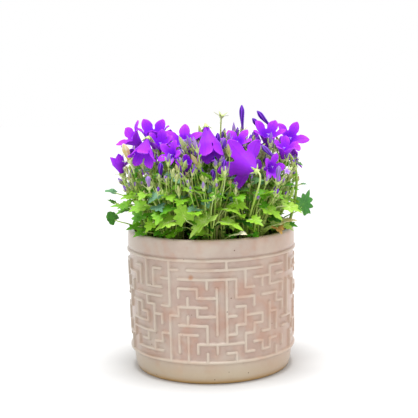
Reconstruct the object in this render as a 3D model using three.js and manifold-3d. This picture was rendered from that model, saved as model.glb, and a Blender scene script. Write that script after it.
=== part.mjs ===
// Potted bellflower: a cylindrical ceramic pot with a raised fret, its potting soil, thirteen
// leafy clumps rooted in it, and the violet five-lobed bells and furled buds on their stems.
// Millimetres, +Z up. The origin is the centre of the pot's flat foot, and -Y is the front.
// A bearing is an angle round the pot's axis: 0 is the front and 90 degrees is +X. A lift is an
// angle above the horizon.

import * as THREE from "three";
import { mergeVertices } from "three/addons/utils/BufferGeometryUtils.js";
import Module from "manifold-3d";

const wasm = await Module();
wasm.setup();
const { Manifold, Mesh } = wasm;

// ---------------------------------------------------------------- driving dimensions

const GAP = 0.3; // between touching pieces
const FUSED = 0.01; // joined faces this close to one plane become one face

const POT = {
  height: 110,
  rimRadius: 65.5,
  footRadius: 59,
  wall: 6,
  floor: 9,
  edge: 1.6, // rounding of the rim and the foot
  facets: 28, // each as wide as two of the fret's columns
};

const FRET = {
  top: 94.6, // height of the upper border ridge
  bottom: 17.6, // and of the lower one
  highRadius: 64.9, // of the wall behind the fret, at the top
  lowRadius: 63.7, // and at the bottom
  rows: 11,
  columns: 56,
  period: 28, // columns in the drawing, which goes twice round
  middleBearing: 3, // bearing of column 14
  ridge: 2.6, // width
  lift: 1.4,
  sunk: 1.2, // how deep a ridge's root goes into the wall
  margin: 2.2, // from a border ridge's middle to the end of the field
};

const SOIL = { edge: 101.5, middle: 104 }; // height of its surface at the wall and on the axis

const CROWN = { radius: 4, tip: 2.6, depth: 12, rise: 3, sides: 5, innerRing: 17, outerRing: 43 };

// A stalk's control points stand off its ends by these shares of its reach.
const STEM = { radius: 1, tip: 1.1, sides: 5, steps: 3, upright: 0.45, arrival: 0.22 };
const PETIOLE = { radius: 0.85, tip: 0.35, sides: 3, steps: 2, lean: 0.2, arrival: 0.35 };

const FLOWER_PARTS = 5; // lobes, sepals and folds of every flower
const CALYX = { hollow: 1.2, depth: 1.5, cup: 2.2, spread: 4.6, sepal: 0.9 };
const BUD = { root: 1.2, radius: 2.1, tip: 0.4, twist: 0.3 };

// An open bell's radii, and how far its lobes rise for each millimetre they spread, from shut to
// open. A shoulder is the widest place of a lobe, and bows out at its middle.
const BELL = {
  root: 1.7,
  throat: 3.9,
  mouth: 7,
  shoulder: 11,
  tip: 15.5,
  length: 11,
  petal: 0.75, // thickness
  lobeHalf: 0.42, // radians from a lobe's middle to its edge at the shoulder
  bow: 1.06,
  rise: { shut: 1.15, open: 0.4 },
};

// A blade's fold along its rib and its droop are shares of its length, and so is the place of
// its middle and how far its stalk runs into it.
const LEAF = { thickness: 0.8, fold: 0.16, droop: 0.22, middle: 0.3, stalkEnd: 0.15 };
const LEAF_CLEARANCE = 0.6; // kept free round a leaf when it is placed
const LEAVES = { outer: 5, inner: 1, tries: 80 }; // for each clump, and draws before it gives up

// ---------------------------------------------------------------- the fret's drawing

// Ridges along each row below the upper border, as spans of columns.
const ROW_SPANS = [
  [[0, 2], [4, 5], [7, 8], [9, 10], [11, 19], [20, 22], [24, 26]],
  [[2, 4], [8, 9], [10, 16], [18, 20], [21, 22], [25, 27]],
  [[0, 1], [6, 8], [10, 12], [17, 18], [20, 22], [24, 25]],
  [[1, 3], [4, 8], [12, 14], [16, 18], [19, 21], [25, 27]],
  [[3, 5], [6, 7], [8, 9], [10, 13], [16, 17], [21, 22], [25, 28]],
  [[0, 2], [5, 6], [7, 8], [9, 10], [12, 14], [15, 16], [17, 19], [20, 21]],
  [[3, 6], [10, 13], [16, 17], [18, 19], [22, 24]],
  [[0, 1], [3, 7], [8, 9], [10, 12], [15, 16], [17, 18], [19, 20], [22, 23], [25, 27]],
  [[1, 3], [5, 6], [7, 8], [12, 17], [18, 19], [20, 21], [24, 25]],
  [[4, 8], [15, 16], [17, 18], [19, 20], [24, 27]],
];

// Ridges down each column, as spans of rows; row 0 is the upper border and row 11 the lower.
const COLUMN_SPANS = [
  [[1, 3], [6, 8]],
  [[3, 4], [8, 9]],
  [[1, 2], [4, 6], [9, 11]],
  [[3, 4], [7, 9]],
  [[2, 3], [5, 7], [9, 10]],
  [[1, 3], [5, 6]],
  [[0, 3], [4, 5], [6, 7], [8, 9]],
  [[1, 3], [5, 8], [9, 10]],
  [[6, 7], [8, 9]],
  [[0, 5], [6, 11]],
  [[3, 4], [5, 6], [8, 10]],
  [[4, 5], [6, 7], [8, 11]],
  [[3, 4], [5, 6], [9, 10]],
  [[2, 3], [7, 9], [10, 11]],
  [[3, 8], [9, 10]],
  [[0, 1], [2, 9]],
  [[2, 4], [7, 8], [10, 11]],
  [[1, 3], [5, 7], [8, 10]],
  [[4, 5], [7, 8]],
  [[2, 3], [6, 7], [9, 10]],
  [[1, 3], [5, 8], [9, 10]],
  [[4, 5], [6, 8], [10, 11]],
  [[3, 4], [5, 6], [9, 10]],
  [[0, 2], [3, 7]],
  [[1, 2], [7, 8], [9, 11]],
  [[3, 5], [8, 9]],
  [[1, 2], [6, 8]],
  [[4, 5], [8, 10]],
];

// ---------------------------------------------------------------- small helpers

const radians = THREE.MathUtils.degToRad;
const degrees = THREE.MathUtils.radToDeg;
const fullTurn = 2 * Math.PI;

/** The point at a bearing, a distance from the pot's axis and a height. */
function at(bearing, distance, z) {
  const angle = radians(bearing);
  return new THREE.Vector3(distance * Math.sin(angle), -distance * Math.cos(angle), z);
}

/** The unit direction with a bearing and a lift. */
function toward(bearing, lift) {
  return at(bearing, Math.cos(radians(lift)), Math.sin(radians(lift)));
}

/** The point a distance from another along a direction. */
const along = (point, direction, distance) => point.clone().addScaledVector(direction, distance);

/** A closed solid from its points and triangles. */
function solidFrom(points, triangles) {
  const vertProperties = new Float32Array(points.flatMap((point) => point.toArray()));
  const triVerts = new Uint32Array(triangles.flat());
  return new Manifold(new Mesh({ numProp: 3, vertProperties, triVerts }));
}

/** Solids joined into one, with the faces that lie in one plane made one. */
const joined = (solids) => Manifold.union(solids).asOriginal().simplify(FUSED);

/** A turned solid from a profile of [radius, height] points that starts and ends on the axis. */
function turned(profile, facets, firstBearing) {
  const outline = profile.map(([radius, z]) => new THREE.Vector2(radius, z));
  const lathe = new THREE.LatheGeometry(outline, facets, radians(firstBearing));
  lathe.rotateX(Math.PI / 2);
  lathe.deleteAttribute("normal");
  lathe.deleteAttribute("uv");
  const merged = mergeVertices(lathe, 1e-4);
  const vertProperties = merged.attributes.position.array;
  return new Manifold(new Mesh({ numProp: 3, vertProperties, triVerts: merged.index.array }));
}

/** The side faces between rings of equal length, each given as [from, to] pairs of rings. */
function sides(count, pairs) {
  const triangles = [];
  for (const [from, to] of pairs) {
    for (let i = 0; i < count; i += 1) {
      const next = (i + 1) % count;
      const [a, b, c, d] = [from * count + i, from * count + next, to * count + next, to * count + i];
      triangles.push([a, b, c], [a, c, d]);
    }
  }
  return triangles;
}

/** A flat cap over a ring whose points start at an index, facing back along the rings. */
function cap(first, count) {
  return Array.from({ length: count - 2 }, (_, i) => [first, first + i + 2, first + i + 1]);
}

/** A solid through rings of equal length, capped at both ends. */
function loft(rings) {
  const count = rings[0].length;
  const last = (rings.length - 1) * count;
  const pairs = rings.slice(1).map((_, k) => [k, k + 1]);
  const end = cap(last, count).map(([a, b, c]) => [a, c, b]);
  return solidFrom(rings.flat(), [...sides(count, pairs), ...cap(0, count), ...end]);
}

/** A solid through rings of equal length that closes on itself. */
function closedLoft(rings) {
  const pairs = rings.map((_, k) => [k, (k + 1) % rings.length]);
  return solidFrom(rings.flat(), sides(rings[0].length, pairs));
}

/** Two directions square to an axis and to each other. */
function across(axis) {
  const guide = Math.abs(axis.z) > 0.9 ? new THREE.Vector3(0, 1, 0) : new THREE.Vector3(0, 0, 1);
  const side = new THREE.Vector3().crossVectors(guide, axis).normalize();
  return [side, new THREE.Vector3().crossVectors(axis, side)];
}

/** A point at an angle and a radius round a centre, in the plane of two directions. */
function around(centre, [side, up], angle, radius) {
  return along(along(centre, side, radius * Math.cos(angle)), up, radius * Math.sin(angle));
}

/** A ring of points round a centre. */
function ring(centre, plane, radius, count, turn = 0) {
  return Array.from({ length: count }, (_, i) =>
    around(centre, plane, turn + (i / count) * fullTurn, radius),
  );
}

/** The rings of a stalk along a curve, from its radius to its tip's. */
function stalkRings(curve, { radius, tip, sides: count, steps }) {
  const { normals, binormals } = curve.computeFrenetFrames(steps, false);
  return normals.map((normal, k) => {
    const share = k / steps;
    const plane = [normal, binormals[k]];
    return ring(curve.getPointAt(share), plane, radius + (tip - radius) * share, count);
  });
}

// ---------------------------------------------------------------- pot

const columnStep = 360 / FRET.columns;
const facetStep = 360 / POT.facets;
const columnBearing = (column) => FRET.middleBearing + (column - FRET.period / 2) * columnStep;
const rowHeight = (row) => FRET.top - (row * (FRET.top - FRET.bottom)) / FRET.rows;
const firstCorner = columnBearing(1.5); // the facets meet halfway between columns

/** The radius of the wall behind the fret, to its facets' corners. */
function wallRadius(z) {
  const share = (z - FRET.bottom) / (FRET.top - FRET.bottom);
  return FRET.lowRadius + (FRET.highRadius - FRET.lowRadius) * share;
}

/** A point lifted square off one of the wall's facets. */
function wallPoint(bearing, z, lift) {
  const facet = Math.floor((bearing - firstCorner) / facetStep);
  const middle = firstCorner + (facet + 0.5) * facetStep;
  const flat = wallRadius(z) * Math.cos(radians(facetStep / 2)) + lift;
  return at(bearing, flat / Math.cos(radians(bearing - middle)), z);
}

/** The four corners of a ridge's section at a bearing. */
function ridgeSection(bearing, low, high) {
  return [
    wallPoint(bearing, low, -FRET.sunk),
    wallPoint(bearing, high, -FRET.sunk),
    wallPoint(bearing, high, FRET.lift),
    wallPoint(bearing, low, FRET.lift),
  ];
}

/** One ridge of the fret, between two bearings and two heights, bent at the facets' corners. */
function ridge(from, to, low, high) {
  const bearings = [from];
  const cornersBefore = Math.ceil((from - firstCorner) / facetStep);
  for (let corner = cornersBefore; firstCorner + corner * facetStep < to; corner += 1) {
    bearings.push(firstCorner + corner * facetStep);
  }
  bearings.push(to);
  return loft(bearings.map((bearing) => ridgeSection(bearing, low, high)));
}

/** A ridge all the way round. */
function border(z) {
  const sections = Array.from({ length: POT.facets }, (_, i) =>
    ridgeSection(firstCorner + i * facetStep, z - FRET.ridge / 2, z + FRET.ridge / 2),
  );
  return closedLoft(sections);
}

function fret() {
  const half = FRET.ridge / 2;
  const halfBearing = degrees(half / FRET.highRadius);
  const ridges = [border(FRET.top), border(FRET.bottom)];
  for (let shift = 0; shift < FRET.columns; shift += FRET.period) {
    ROW_SPANS.forEach((spans, index) => {
      const z = rowHeight(index + 1);
      for (const [from, to] of spans) {
        const left = columnBearing(from + shift) - halfBearing;
        const right = columnBearing(to + shift) + halfBearing;
        ridges.push(ridge(left, right, z - half, z + half));
      }
    });
    COLUMN_SPANS.forEach((spans, column) => {
      const bearing = columnBearing(column + shift);
      for (const [from, to] of spans) {
        const [low, high] = [rowHeight(to), rowHeight(from)];
        ridges.push(ridge(bearing - halfBearing, bearing + halfBearing, low, high));
      }
    });
  }
  return joined(ridges);
}

const insideRadius = POT.rimRadius - POT.wall;
const insideCorner = { radius: 6, height: 6, taper: 1.5 }; // where the wall meets the floor

/** Half the section of the space inside the pot, up to a height, in from its walls by a gap. */
function insideSection(gap) {
  const { radius, height, taper } = insideCorner;
  const side = insideRadius - gap;
  const floor = POT.floor + gap;
  return [
    [0, floor],
    [side - taper - radius, floor],
    [side - taper, floor + height],
  ];
}

function pot() {
  const { height, rimRadius, footRadius, edge, facets } = POT;
  const fieldTop = FRET.top + FRET.margin;
  const fieldFoot = FRET.bottom - FRET.margin;
  const outside = [
    [0, 0],
    [footRadius, 0],
    [footRadius + 2, edge],
    [wallRadius(fieldFoot) - 1.3, edge + 6],
    [wallRadius(fieldFoot) - 1.1, fieldFoot],
    [wallRadius(FRET.bottom), FRET.bottom],
    [wallRadius(FRET.top), FRET.top],
    [rimRadius, fieldTop],
    [rimRadius, height - edge],
    [rimRadius - edge, height],
  ];
  const inside = [...insideSection(0), [insideRadius, height - edge], [insideRadius + 1, height]];
  const body = turned([...outside, ...inside.reverse()], facets, firstCorner);
  return joined([body, fret()]);
}

// ---------------------------------------------------------------- soil and crowns

// Four crowns stand round the middle and nine nearer the wall, each with its own sector.
const CROWNS = [
  ...[45, 135, 225, 315].map((bearing) => {
    return { bearing, distance: CROWN.innerRing, sector: 45, outer: false };
  }),
  ...[0, 40, 80, 120, 160, 200, 240, 280, 320].map((bearing) => {
    return { bearing, distance: CROWN.outerRing, sector: 20, outer: true };
  }),
];

const soilHeight = (distance) =>
  SOIL.middle - (SOIL.middle - SOIL.edge) * (distance / insideRadius) ** 2;

/** The stub that a crown stands on in the soil, or its hole when grown by a gap. */
function crownStub({ bearing, distance }, gap) {
  const { radius, tip, depth, rise, sides: count } = CROWN;
  const ground = soilHeight(distance);
  const plane = across(new THREE.Vector3(0, 0, 1));
  const levels = [
    [ground - depth - gap, radius + gap],
    [ground + gap, radius + gap],
    [ground + rise + gap, tip + gap],
  ];
  return loft(levels.map(([z, size]) => ring(at(bearing, distance, z), plane, size, count)));
}

function soil() {
  const side = insideRadius - GAP;
  const surface = [side, side * 0.5, 0].map((distance) => [distance, soilHeight(distance)]);
  const body = turned([...insideSection(GAP), ...surface], POT.facets, firstCorner);
  return body.subtract(Manifold.union(CROWNS.map((crown) => crownStub(crown, GAP))));
}

// ---------------------------------------------------------------- flowers

// Open bells: the middle of the mouth, the bearing and lift it faces, its size, how far it has
// opened, and how far its lobes are turned. The front comes first, from left to right, then the
// back, and three that show between the front ones come last.
const BELLS = [
  [-59, -14, 182, -70, 40, 0.95, 0.85, 18],
  [-43, -1, 184, -5, 72, 1.15, 0.5, -18],
  [-49, -35, 172, -20, -52, 1.05, 0.4, 0],
  [-70, -12, 162, -80, 76, 0.7, 0.05, 0],
  [-20, -13, 179, -10, 55, 1, 0.95, 18],
  [-29, -36, 171, -30, 25, 0.7, 0.9, 0],
  [-0.2, -40, 177.1, 20, -68, 1.25, 0.15, 0],
  [21, -20, 178, -10, 60, 0.9, 0.85, -18],
  [26, -45.4, 163.3, -150, 14, 1.4, 0.95, -18],
  [46.5, -40, 159.5, 40, 10, 0.75, 0.9, 0],
  [45, -15, 183, 10, 62, 1, 0.7, -18],
  [63, -6, 179, 30, 35, 0.95, 0.95, -18],
  [57, -26, 173, 20, 65, 0.85, 0.6, 18],
  [-60, 16, 166, -100, 30, 1, 1, 10],
  [-36, 28, 170, -160, 40, 1.05, 1, 30],
  [-10, 14, 168, 170, 60, 1, 0.9, 0],
  [8, 36, 160, 170, 30, 1.05, 1, 20],
  [-22, 50, 156, -160, 15, 1, 1, 40],
  [24, 12, 172, 110, 60, 0.95, 0.9, 0],
  [41, 34, 167, 140, 35, 1.05, 1, 15],
  [64, 22, 165, 100, 25, 1, 1, 35],
  [10, 62, 150, 175, 10, 1, 0.9, 25],
  [-50, 46, 156, -135, 20, 1, 1, 5],
  [38, 60, 153, 150, 15, 0.95, 1, 45],
  [-37.4, -18.8, 178, 10, 55, 0.85, 0.45, 0],
  [-19, -36, 162, 0, 60, 0.75, 0.3, 0],
  [1, -17.5, 167.5, -20, 45, 0.8, 0.8, 18],
];

// A flower that faces down more steeply than this sine hangs from a stem that rises behind it.
const NODDING = { sine: -0.5, behind: 30, arrival: 7 };

// Furled bells: the root, the bearing and lift they point to, and their length.
const BUDS = [
  [26, -4, 186, -20, 86, 19],
  [42, 2, 184, -60, 48, 14],
  [48, 2, 187.5, -60, 46, 17.5],
  [6.5, -27, 169.5, 0, 88, 16],
  [49, -32, 166, -85, 45, 14],
  [10, -54, 157, 30, 80, 11],
  [2.5, -53, 152, 0, 84, 9],
  [-3, -46, 154, -75, 55, 12.5],
  [-37, -36, 153, 20, 82, 12],
  [-45, -50, 148.5, -30, 82, 8],
  [50, -46, 150, 30, 80, 12],
  [-14, 34, 160, -170, 74, 14],
  [24, 44, 156, 160, 70, 15],
];

// Spent flowers, of which the calyx is left: where the flower's root was, its bearing and lift.
const SPENT = [[10, -5, 198, 40, 80]];

const partAngle = fullTurn / FLOWER_PARTS;

/** Where an open bell's tube begins. */
function bellRoot([x, y, z, bearing, lift, size]) {
  return along(new THREE.Vector3(x, y, z), toward(bearing, lift), -BELL.length * size);
}

/** The 35 points of one face of a bell: two rings of the tube, five notches and five lobes. */
function bellPoints(root, facing, size, open, turn, inset) {
  const plane = across(facing);
  const { length, throat, mouth, shoulder, tip } = BELL;
  const point = (angle, radius, forward) =>
    around(along(root, facing, forward * size), plane, angle, radius * size - inset);
  const spread = (radius) => mouth + (radius - mouth) * open;
  const slope = THREE.MathUtils.lerp(BELL.rise.shut, BELL.rise.open, open);
  const forward = (radius) => length + (radius - mouth) * slope;
  const lobe = (middle) => [
    point(middle - BELL.lobeHalf, spread(shoulder), forward(shoulder)),
    point(middle, spread(shoulder) * BELL.bow, forward(shoulder)),
    point(middle + BELL.lobeHalf, spread(shoulder), forward(shoulder)),
    point(middle, spread(tip), forward(tip)),
  ];
  const middles = Array.from({ length: FLOWER_PARTS }, (_, i) => radians(turn) + i * partAngle);
  return [
    ...middles.map((angle) => point(angle, BELL.root, 0)),
    ...middles.map((angle) => point(angle, throat, length / 2)),
    ...middles.map((angle) => point(angle - partAngle / 2, mouth, length)),
    ...middles.flatMap(lobe),
  ];
}

/** The triangles of one fifth of a bell's face, and the edges of its lobe in order. */
function bellFifth(i) {
  const next = (i + 1) % FLOWER_PARTS;
  const [root, nextRoot] = [i, next];
  const [throat, nextThroat] = [root, nextRoot].map((index) => index + FLOWER_PARTS);
  const [notch, nextNotch] = [throat, nextThroat].map((index) => index + FLOWER_PARTS);
  const lobe = 3 * FLOWER_PARTS + 4 * i;
  const [left, middle, right, tip] = [lobe, lobe + 1, lobe + 2, lobe + 3];
  const face = [
    [root, nextRoot, nextThroat],
    [root, nextThroat, throat],
    [throat, nextThroat, nextNotch],
    [notch, throat, middle],
    [throat, nextNotch, middle],
    [notch, middle, left],
    [nextNotch, right, middle],
    [left, middle, tip],
    [middle, right, tip],
  ];
  const edges = [
    [notch, left],
    [left, tip],
    [tip, right],
    [right, nextNotch],
  ];
  return { face, edges };
}

/** An open bell: a thin shell with five lobes, closed at its root. */
function bell(line) {
  const [, , , bearing, lift, size, open, turn] = line;
  const facing = toward(bearing, lift);
  const root = bellRoot(line);
  const lined = along(root, facing, BELL.petal);
  const outer = bellPoints(root, facing, size, open, turn, 0);
  const inner = bellPoints(lined, facing, size, open, turn, BELL.petal);
  const count = outer.length;
  const innerCap = cap(count, FLOWER_PARTS).map(([a, b, c]) => [a, c, b]);
  const triangles = [...cap(0, FLOWER_PARTS), ...innerCap];
  for (let i = 0; i < FLOWER_PARTS; i += 1) {
    const { face, edges } = bellFifth(i);
    for (const [a, b, c] of face) triangles.push([a, b, c], [count + a, count + c, count + b]);
    for (const [a, b] of edges) triangles.push([a, b, count + b], [a, count + b, count + a]);
  }
  return solidFrom([...outer, ...inner], triangles);
}

/** A furled bell: a slim spindle with its five folds twisted round it. */
function bud([x, y, z, bearing, lift, length]) {
  const facing = toward(bearing, lift);
  const plane = across(facing);
  const levels = [
    [0, BUD.root],
    [0.35, BUD.radius * 0.85],
    [0.75, BUD.radius],
    [1, BUD.tip],
  ];
  const rings = levels.map(([share, radius], k) => {
    const middle = along(new THREE.Vector3(x, y, z), facing, share * length);
    return ring(middle, plane, radius, FLOWER_PARTS, k * BUD.twist);
  });
  return loft(rings);
}

/** A flower's stem from its crown, ending in a green cup with five pointed sepals. */
function flowerStem(crown, { root, facing }) {
  const start = crownTop(crown, root);
  const seat = along(root, facing, -CALYX.hollow);
  const foot = along(seat, facing, -CALYX.depth);
  const reach = start.distanceTo(foot);
  const nods = facing.z < NODDING.sine;
  const level = new THREE.Vector3(facing.x, facing.y, 0).normalize();
  const upright = along(start, new THREE.Vector3(0, 0, 1), reach * STEM.upright);
  const rising = along(upright, level, nods ? -NODDING.behind : 0);
  const arriving = along(foot, facing, nods ? -NODDING.arrival : -reach * STEM.arrival);
  const rings = stalkRings(new THREE.CubicBezierCurve3(start, rising, arriving, foot), STEM);
  const side = new THREE.Vector3().subVectors(rings.at(-1)[0], foot).normalize();
  const plane = [side, new THREE.Vector3().crossVectors(facing, side)];
  const sepalTips = ring(along(root, facing, CALYX.sepal), plane, CALYX.spread, FLOWER_PARTS);
  const notches = ring(seat, plane, CALYX.cup, FLOWER_PARTS, partAngle / 2);
  const pairs = rings.slice(1).map((_, k) => [k, k + 1]);
  return solidFrom(
    [...rings.flat(), ...sepalTips, ...notches, seat],
    [...cap(0, STEM.sides), ...sides(STEM.sides, pairs), ...calyxTriangles(STEM.steps * STEM.sides)],
  );
}

/** The triangles of a calyx, from the index of the first point of its stem's last ring. */
function calyxTriangles(base) {
  const tips = base + FLOWER_PARTS;
  const notches = tips + FLOWER_PARTS;
  const centre = notches + FLOWER_PARTS;
  const triangles = [];
  for (let i = 0; i < FLOWER_PARTS; i += 1) {
    const next = (i + 1) % FLOWER_PARTS;
    triangles.push([base + i, base + next, notches + i]);
    triangles.push([base + i, notches + i, tips + i], [base + next, tips + next, notches + i]);
    triangles.push([centre, tips + i, notches + i], [centre, notches + i, tips + next]);
  }
  return triangles;
}

/** A point just inside a crown's top, on the side that faces a target. */
function crownTop({ bearing, distance }, target) {
  const middle = at(bearing, distance, soilHeight(distance) + CROWN.rise / 3);
  const aside = new THREE.Vector3().subVectors(target, middle).setZ(0);
  return along(middle, aside.normalize(), CROWN.tip - STEM.radius);
}

// ---------------------------------------------------------------- leaves

// Large leaves round the rim: where the stalk joins, the tip's bearing and lift, and length.
const LARGE_LEAVES = [
  [1, -60, 126, -67, -28, 23],
  [9, -62, 120, 68, -5, 16],
  [-31, -54, 125, -80, -20, 16],
  [-22, -60, 118, -65, 40, 17],
  [-12, -66, 130, 10, 20, 14],
  [11, -57, 128, 60, 25, 14],
  [28, -60, 120, 40, 15, 13],
  [40, -50, 129, 75, -15, 16],
  [54, -42, 130, 85, -5, 18],
  [-50, -42, 115, -70, 10, 13],
  [-47, -44, 133, -60, 10, 16],
  [69, -10, 130, 90, 45, 15],
  [-70, -15, 117, -95, 35, 14],
  [-69, -8, 138, -90, 10, 13],
  [52, -40, 117, 60, -10, 12],
  [2, 62, 122, 170, 12, 18],
  [-30, 56, 124, -160, 5, 16],
  [30, 57, 122, 150, 10, 16],
  [-52, 40, 120, -130, 10, 15],
  [52, 41, 124, 130, 5, 15],
  [68, 18, 122, 100, 15, 14],
  [-67, 16, 124, -100, 15, 14],
];

// Half a leaf's outline from its tip to its heart-shaped base, in shares of its length.
const LEAF_EDGE = [
  [0.7, 0.17],
  [0.62, 0.38],
  [0.4, 0.33],
  [0.2, 0.54],
  [-0.1, 0.36],
];

/** A leaf's outline all round, from the tip. */
function leafOutline() {
  const otherHalf = LEAF_EDGE.map(([forward, aside]) => [forward, -aside]).reverse();
  return [[1, 0], ...LEAF_EDGE, [0.04, 0], ...otherHalf];
}

/** A toothed blade, folded up along its rib and drooping to its tip. */
function blade({ joint, tipward, upward, length }, swell) {
  const side = new THREE.Vector3().crossVectors(upward, tipward).normalize();
  const normal = new THREE.Vector3().crossVectors(tipward, side).normalize();
  const size = length + swell;
  const point = ([forward, aside], height) => {
    const rise = LEAF.fold * Math.abs(aside) - LEAF.droop * forward * Math.abs(forward);
    const flat = along(along(joint, tipward, forward * size), side, aside * size);
    return along(flat, normal, rise * length + height);
  };
  const outline = leafOutline();
  const half = (LEAF.thickness + swell) / 2;
  const count = outline.length;
  const faces = [half, -half].flatMap((height) => outline.map((place) => point(place, height)));
  const middles = [half, -half].map((height) => point([LEAF.middle, 0], height));
  const triangles = sides(count, [[1, 0]]);
  for (let i = 0; i < count; i += 1) {
    const next = (i + 1) % count;
    triangles.push([2 * count, i, next], [2 * count + 1, count + next, count + i]);
  }
  return solidFrom([...faces, ...middles], triangles);
}

/** A leaf's stalk from its crown, high enough to clear the rim, and running into the blade. */
function petiole(crown, { joint, tipward, length }, swell) {
  const start = crownTop(crown, joint);
  const into = along(joint, tipward, LEAF.stalkEnd * length);
  const rising = start.clone().lerp(joint, PETIOLE.lean).setZ(joint.z - 2);
  const arriving = along(joint, tipward, -PETIOLE.arrival * length);
  const grown = { ...PETIOLE, radius: PETIOLE.radius + swell, tip: PETIOLE.tip + swell };
  return loft(stalkRings(new THREE.CubicBezierCurve3(start, rising, arriving, into), grown));
}

const leaf = (crown, pose, swell = 0) => petiole(crown, pose, swell).add(blade(pose, swell));

/** A large leaf's pose from its line in the list. Its upper face turns up and out. */
function largeLeaf([x, y, z, bearing, lift, length]) {
  const outward = degrees(Math.atan2(x, -y));
  return {
    joint: new THREE.Vector3(x, y, z),
    tipward: toward(bearing, lift),
    upward: toward(outward, 55),
    length,
  };
}

/** A draw of numbers from 0 to 1 that is the same on every run. */
function drawFrom(seed) {
  let state = seed;
  return () => {
    state = (1664525 * state + 1013904223) % 2 ** 32;
    return state / 2 ** 32;
  };
}

/** A drawn pose for a smaller leaf in a crown's own sector. */
function drawnLeaf(crown, draw) {
  const within = (low, high) => low + (high - low) * draw();
  const bearing = crown.bearing + within(-1, 1) * crown.sector;
  const distance = crown.outer ? within(50, 66) : within(12, 40);
  const z = crown.outer ? within(112, 142) : within(120, 150);
  return {
    joint: at(bearing, distance, z),
    tipward: toward(bearing + within(-60, 60), within(-20, 35)),
    upward: toward(bearing, within(45, 75)),
    length: within(12, 17),
  };
}

// ---------------------------------------------------------------- plant

function meets(a, b) {
  const [boxA, boxB] = [a.boundingBox(), b.boundingBox()];
  const near = boxA.min.every((low, i) => low <= boxB.max[i] && boxA.max[i] >= boxB.min[i]);
  return near && !a.intersect(b).isEmpty();
}

function nearestCrown(point) {
  const distances = CROWNS.map(({ bearing, distance }) => {
    return at(bearing, distance, point.z).distanceTo(point);
  });
  return distances.indexOf(Math.min(...distances));
}

/** Grows the green of every clump: its crown, then its flowers' stems, then its leaves. */
class Clumps {
  constructor(flowers, fixed) {
    this.grown = CROWNS.map((crown) => [crownStub(crown, 0)]);
    this.wanted = CROWNS.map(({ outer }) => (outer ? LEAVES.outer : LEAVES.inner));
    this.others = [...fixed, ...flowers.flatMap(({ solid }) => solid ?? [])];
    for (const flower of flowers) {
      const index = nearestCrown(flower.root);
      this.grown[index].push(flowerStem(CROWNS[index], flower));
    }
  }

  /** Whether a leaf clears all but its own clump, and its blade clears that clump too. */
  isClear(index, pose) {
    const whole = leaf(CROWNS[index], pose, LEAF_CLEARANCE);
    const elsewhere = this.grown.flatMap((solids, i) => (i === index ? [] : solids));
    if ([...this.others, ...elsewhere].some((solid) => meets(whole, solid))) return false;
    const bladeAlone = blade(pose, LEAF_CLEARANCE);
    return !this.grown[index].some((solid) => meets(bladeAlone, solid));
  }

  addLeafWhereClear(index, pose) {
    if (!this.isClear(index, pose)) return;
    this.grown[index].push(leaf(CROWNS[index], pose));
    this.wanted[index] -= 1;
  }

  addLargeLeaves() {
    for (const pose of LARGE_LEAVES.map(largeLeaf)) {
      this.addLeafWhereClear(nearestCrown(pose.joint), pose);
    }
  }

  addSmallLeaves() {
    CROWNS.forEach((crown, index) => {
      const draw = drawFrom(index + 1);
      for (let tries = 0; this.wanted[index] > 0 && tries < LEAVES.tries; tries += 1) {
        this.addLeafWhereClear(index, drawnLeaf(crown, draw));
      }
    });
  }

  solids() {
    return this.grown.map(joined);
  }
}

// ---------------------------------------------------------------- materials and scene

const GLAZE = new THREE.MeshStandardMaterial({ color: 0xc7ac9c, roughness: 0.45 });
const COMPOST = new THREE.MeshStandardMaterial({ color: 0x3a2618, roughness: 0.95 });
const GREEN = new THREE.MeshStandardMaterial({ color: 0x6fae2c, roughness: 0.55 });
const VIOLET = new THREE.MeshStandardMaterial({ color: 0x9a24f0, roughness: 0.5 });
const FURLED = new THREE.MeshStandardMaterial({ color: 0x5c10b0, roughness: 0.5 });

/** A named mesh from a solid. */
function meshOf(name, solid, material) {
  const { numProp, numVert, vertProperties, triVerts } = solid.getMesh();
  const position = new Float32Array(numVert * 3);
  for (let i = 0; i < numVert; i += 1) {
    position.set(vertProperties.subarray(i * numProp, i * numProp + 3), i * 3);
  }
  const geometry = new THREE.BufferGeometry();
  geometry.setAttribute("position", new THREE.BufferAttribute(position, 3));
  geometry.setIndex(new THREE.BufferAttribute(triVerts, 1));
  geometry.computeVertexNormals();
  const mesh = new THREE.Mesh(geometry, material);
  mesh.name = name;
  return mesh;
}

/** Meshes for a list of solids, numbered from 01. */
const numbered = (name, solids, material) =>
  solids.map((solid, i) => meshOf(`${name}_${String(i + 1).padStart(2, "0")}`, solid, material));

function pottedBellflower() {
  const [potSolid, soilSolid] = [pot(), soil()];
  const bells = BELLS.map((line) => {
    return { solid: bell(line), root: bellRoot(line), facing: toward(line[3], line[4]) };
  });
  const buds = BUDS.map((line) => {
    const root = new THREE.Vector3(...line.slice(0, 3));
    return { solid: bud(line), root, facing: toward(line[3], line[4]) };
  });
  const spent = SPENT.map(([x, y, z, bearing, lift]) => {
    return { root: new THREE.Vector3(x, y, z), facing: toward(bearing, lift) };
  });
  const clumps = new Clumps([...bells, ...buds, ...spent], [potSolid, soilSolid]);
  clumps.addLargeLeaves();
  clumps.addSmallLeaves();
  const group = new THREE.Group();
  group.add(meshOf("pot", potSolid, GLAZE), meshOf("soil", soilSolid, COMPOST));
  group.add(...numbered("clump", clumps.solids(), GREEN));
  group.add(...numbered("bell", bells.map(({ solid }) => solid), VIOLET));
  group.add(...numbered("bud", buds.map(({ solid }) => solid), FURLED));
  return group;
}

export default pottedBellflower();
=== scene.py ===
"""A potted bellflower: campanula in full flower in a glazed stoneware pot with a raised fret.

The CAD solids give the places and the sizes; every piece here is a finer mesh that stands for
one of them. Lengths are in millimetres in the dataclasses and turn to metres when a mesh is made.
The pot stands on z = 0 round the z axis. A bearing of 0 is the front (-y) and 90 is +x.
"""

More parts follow.
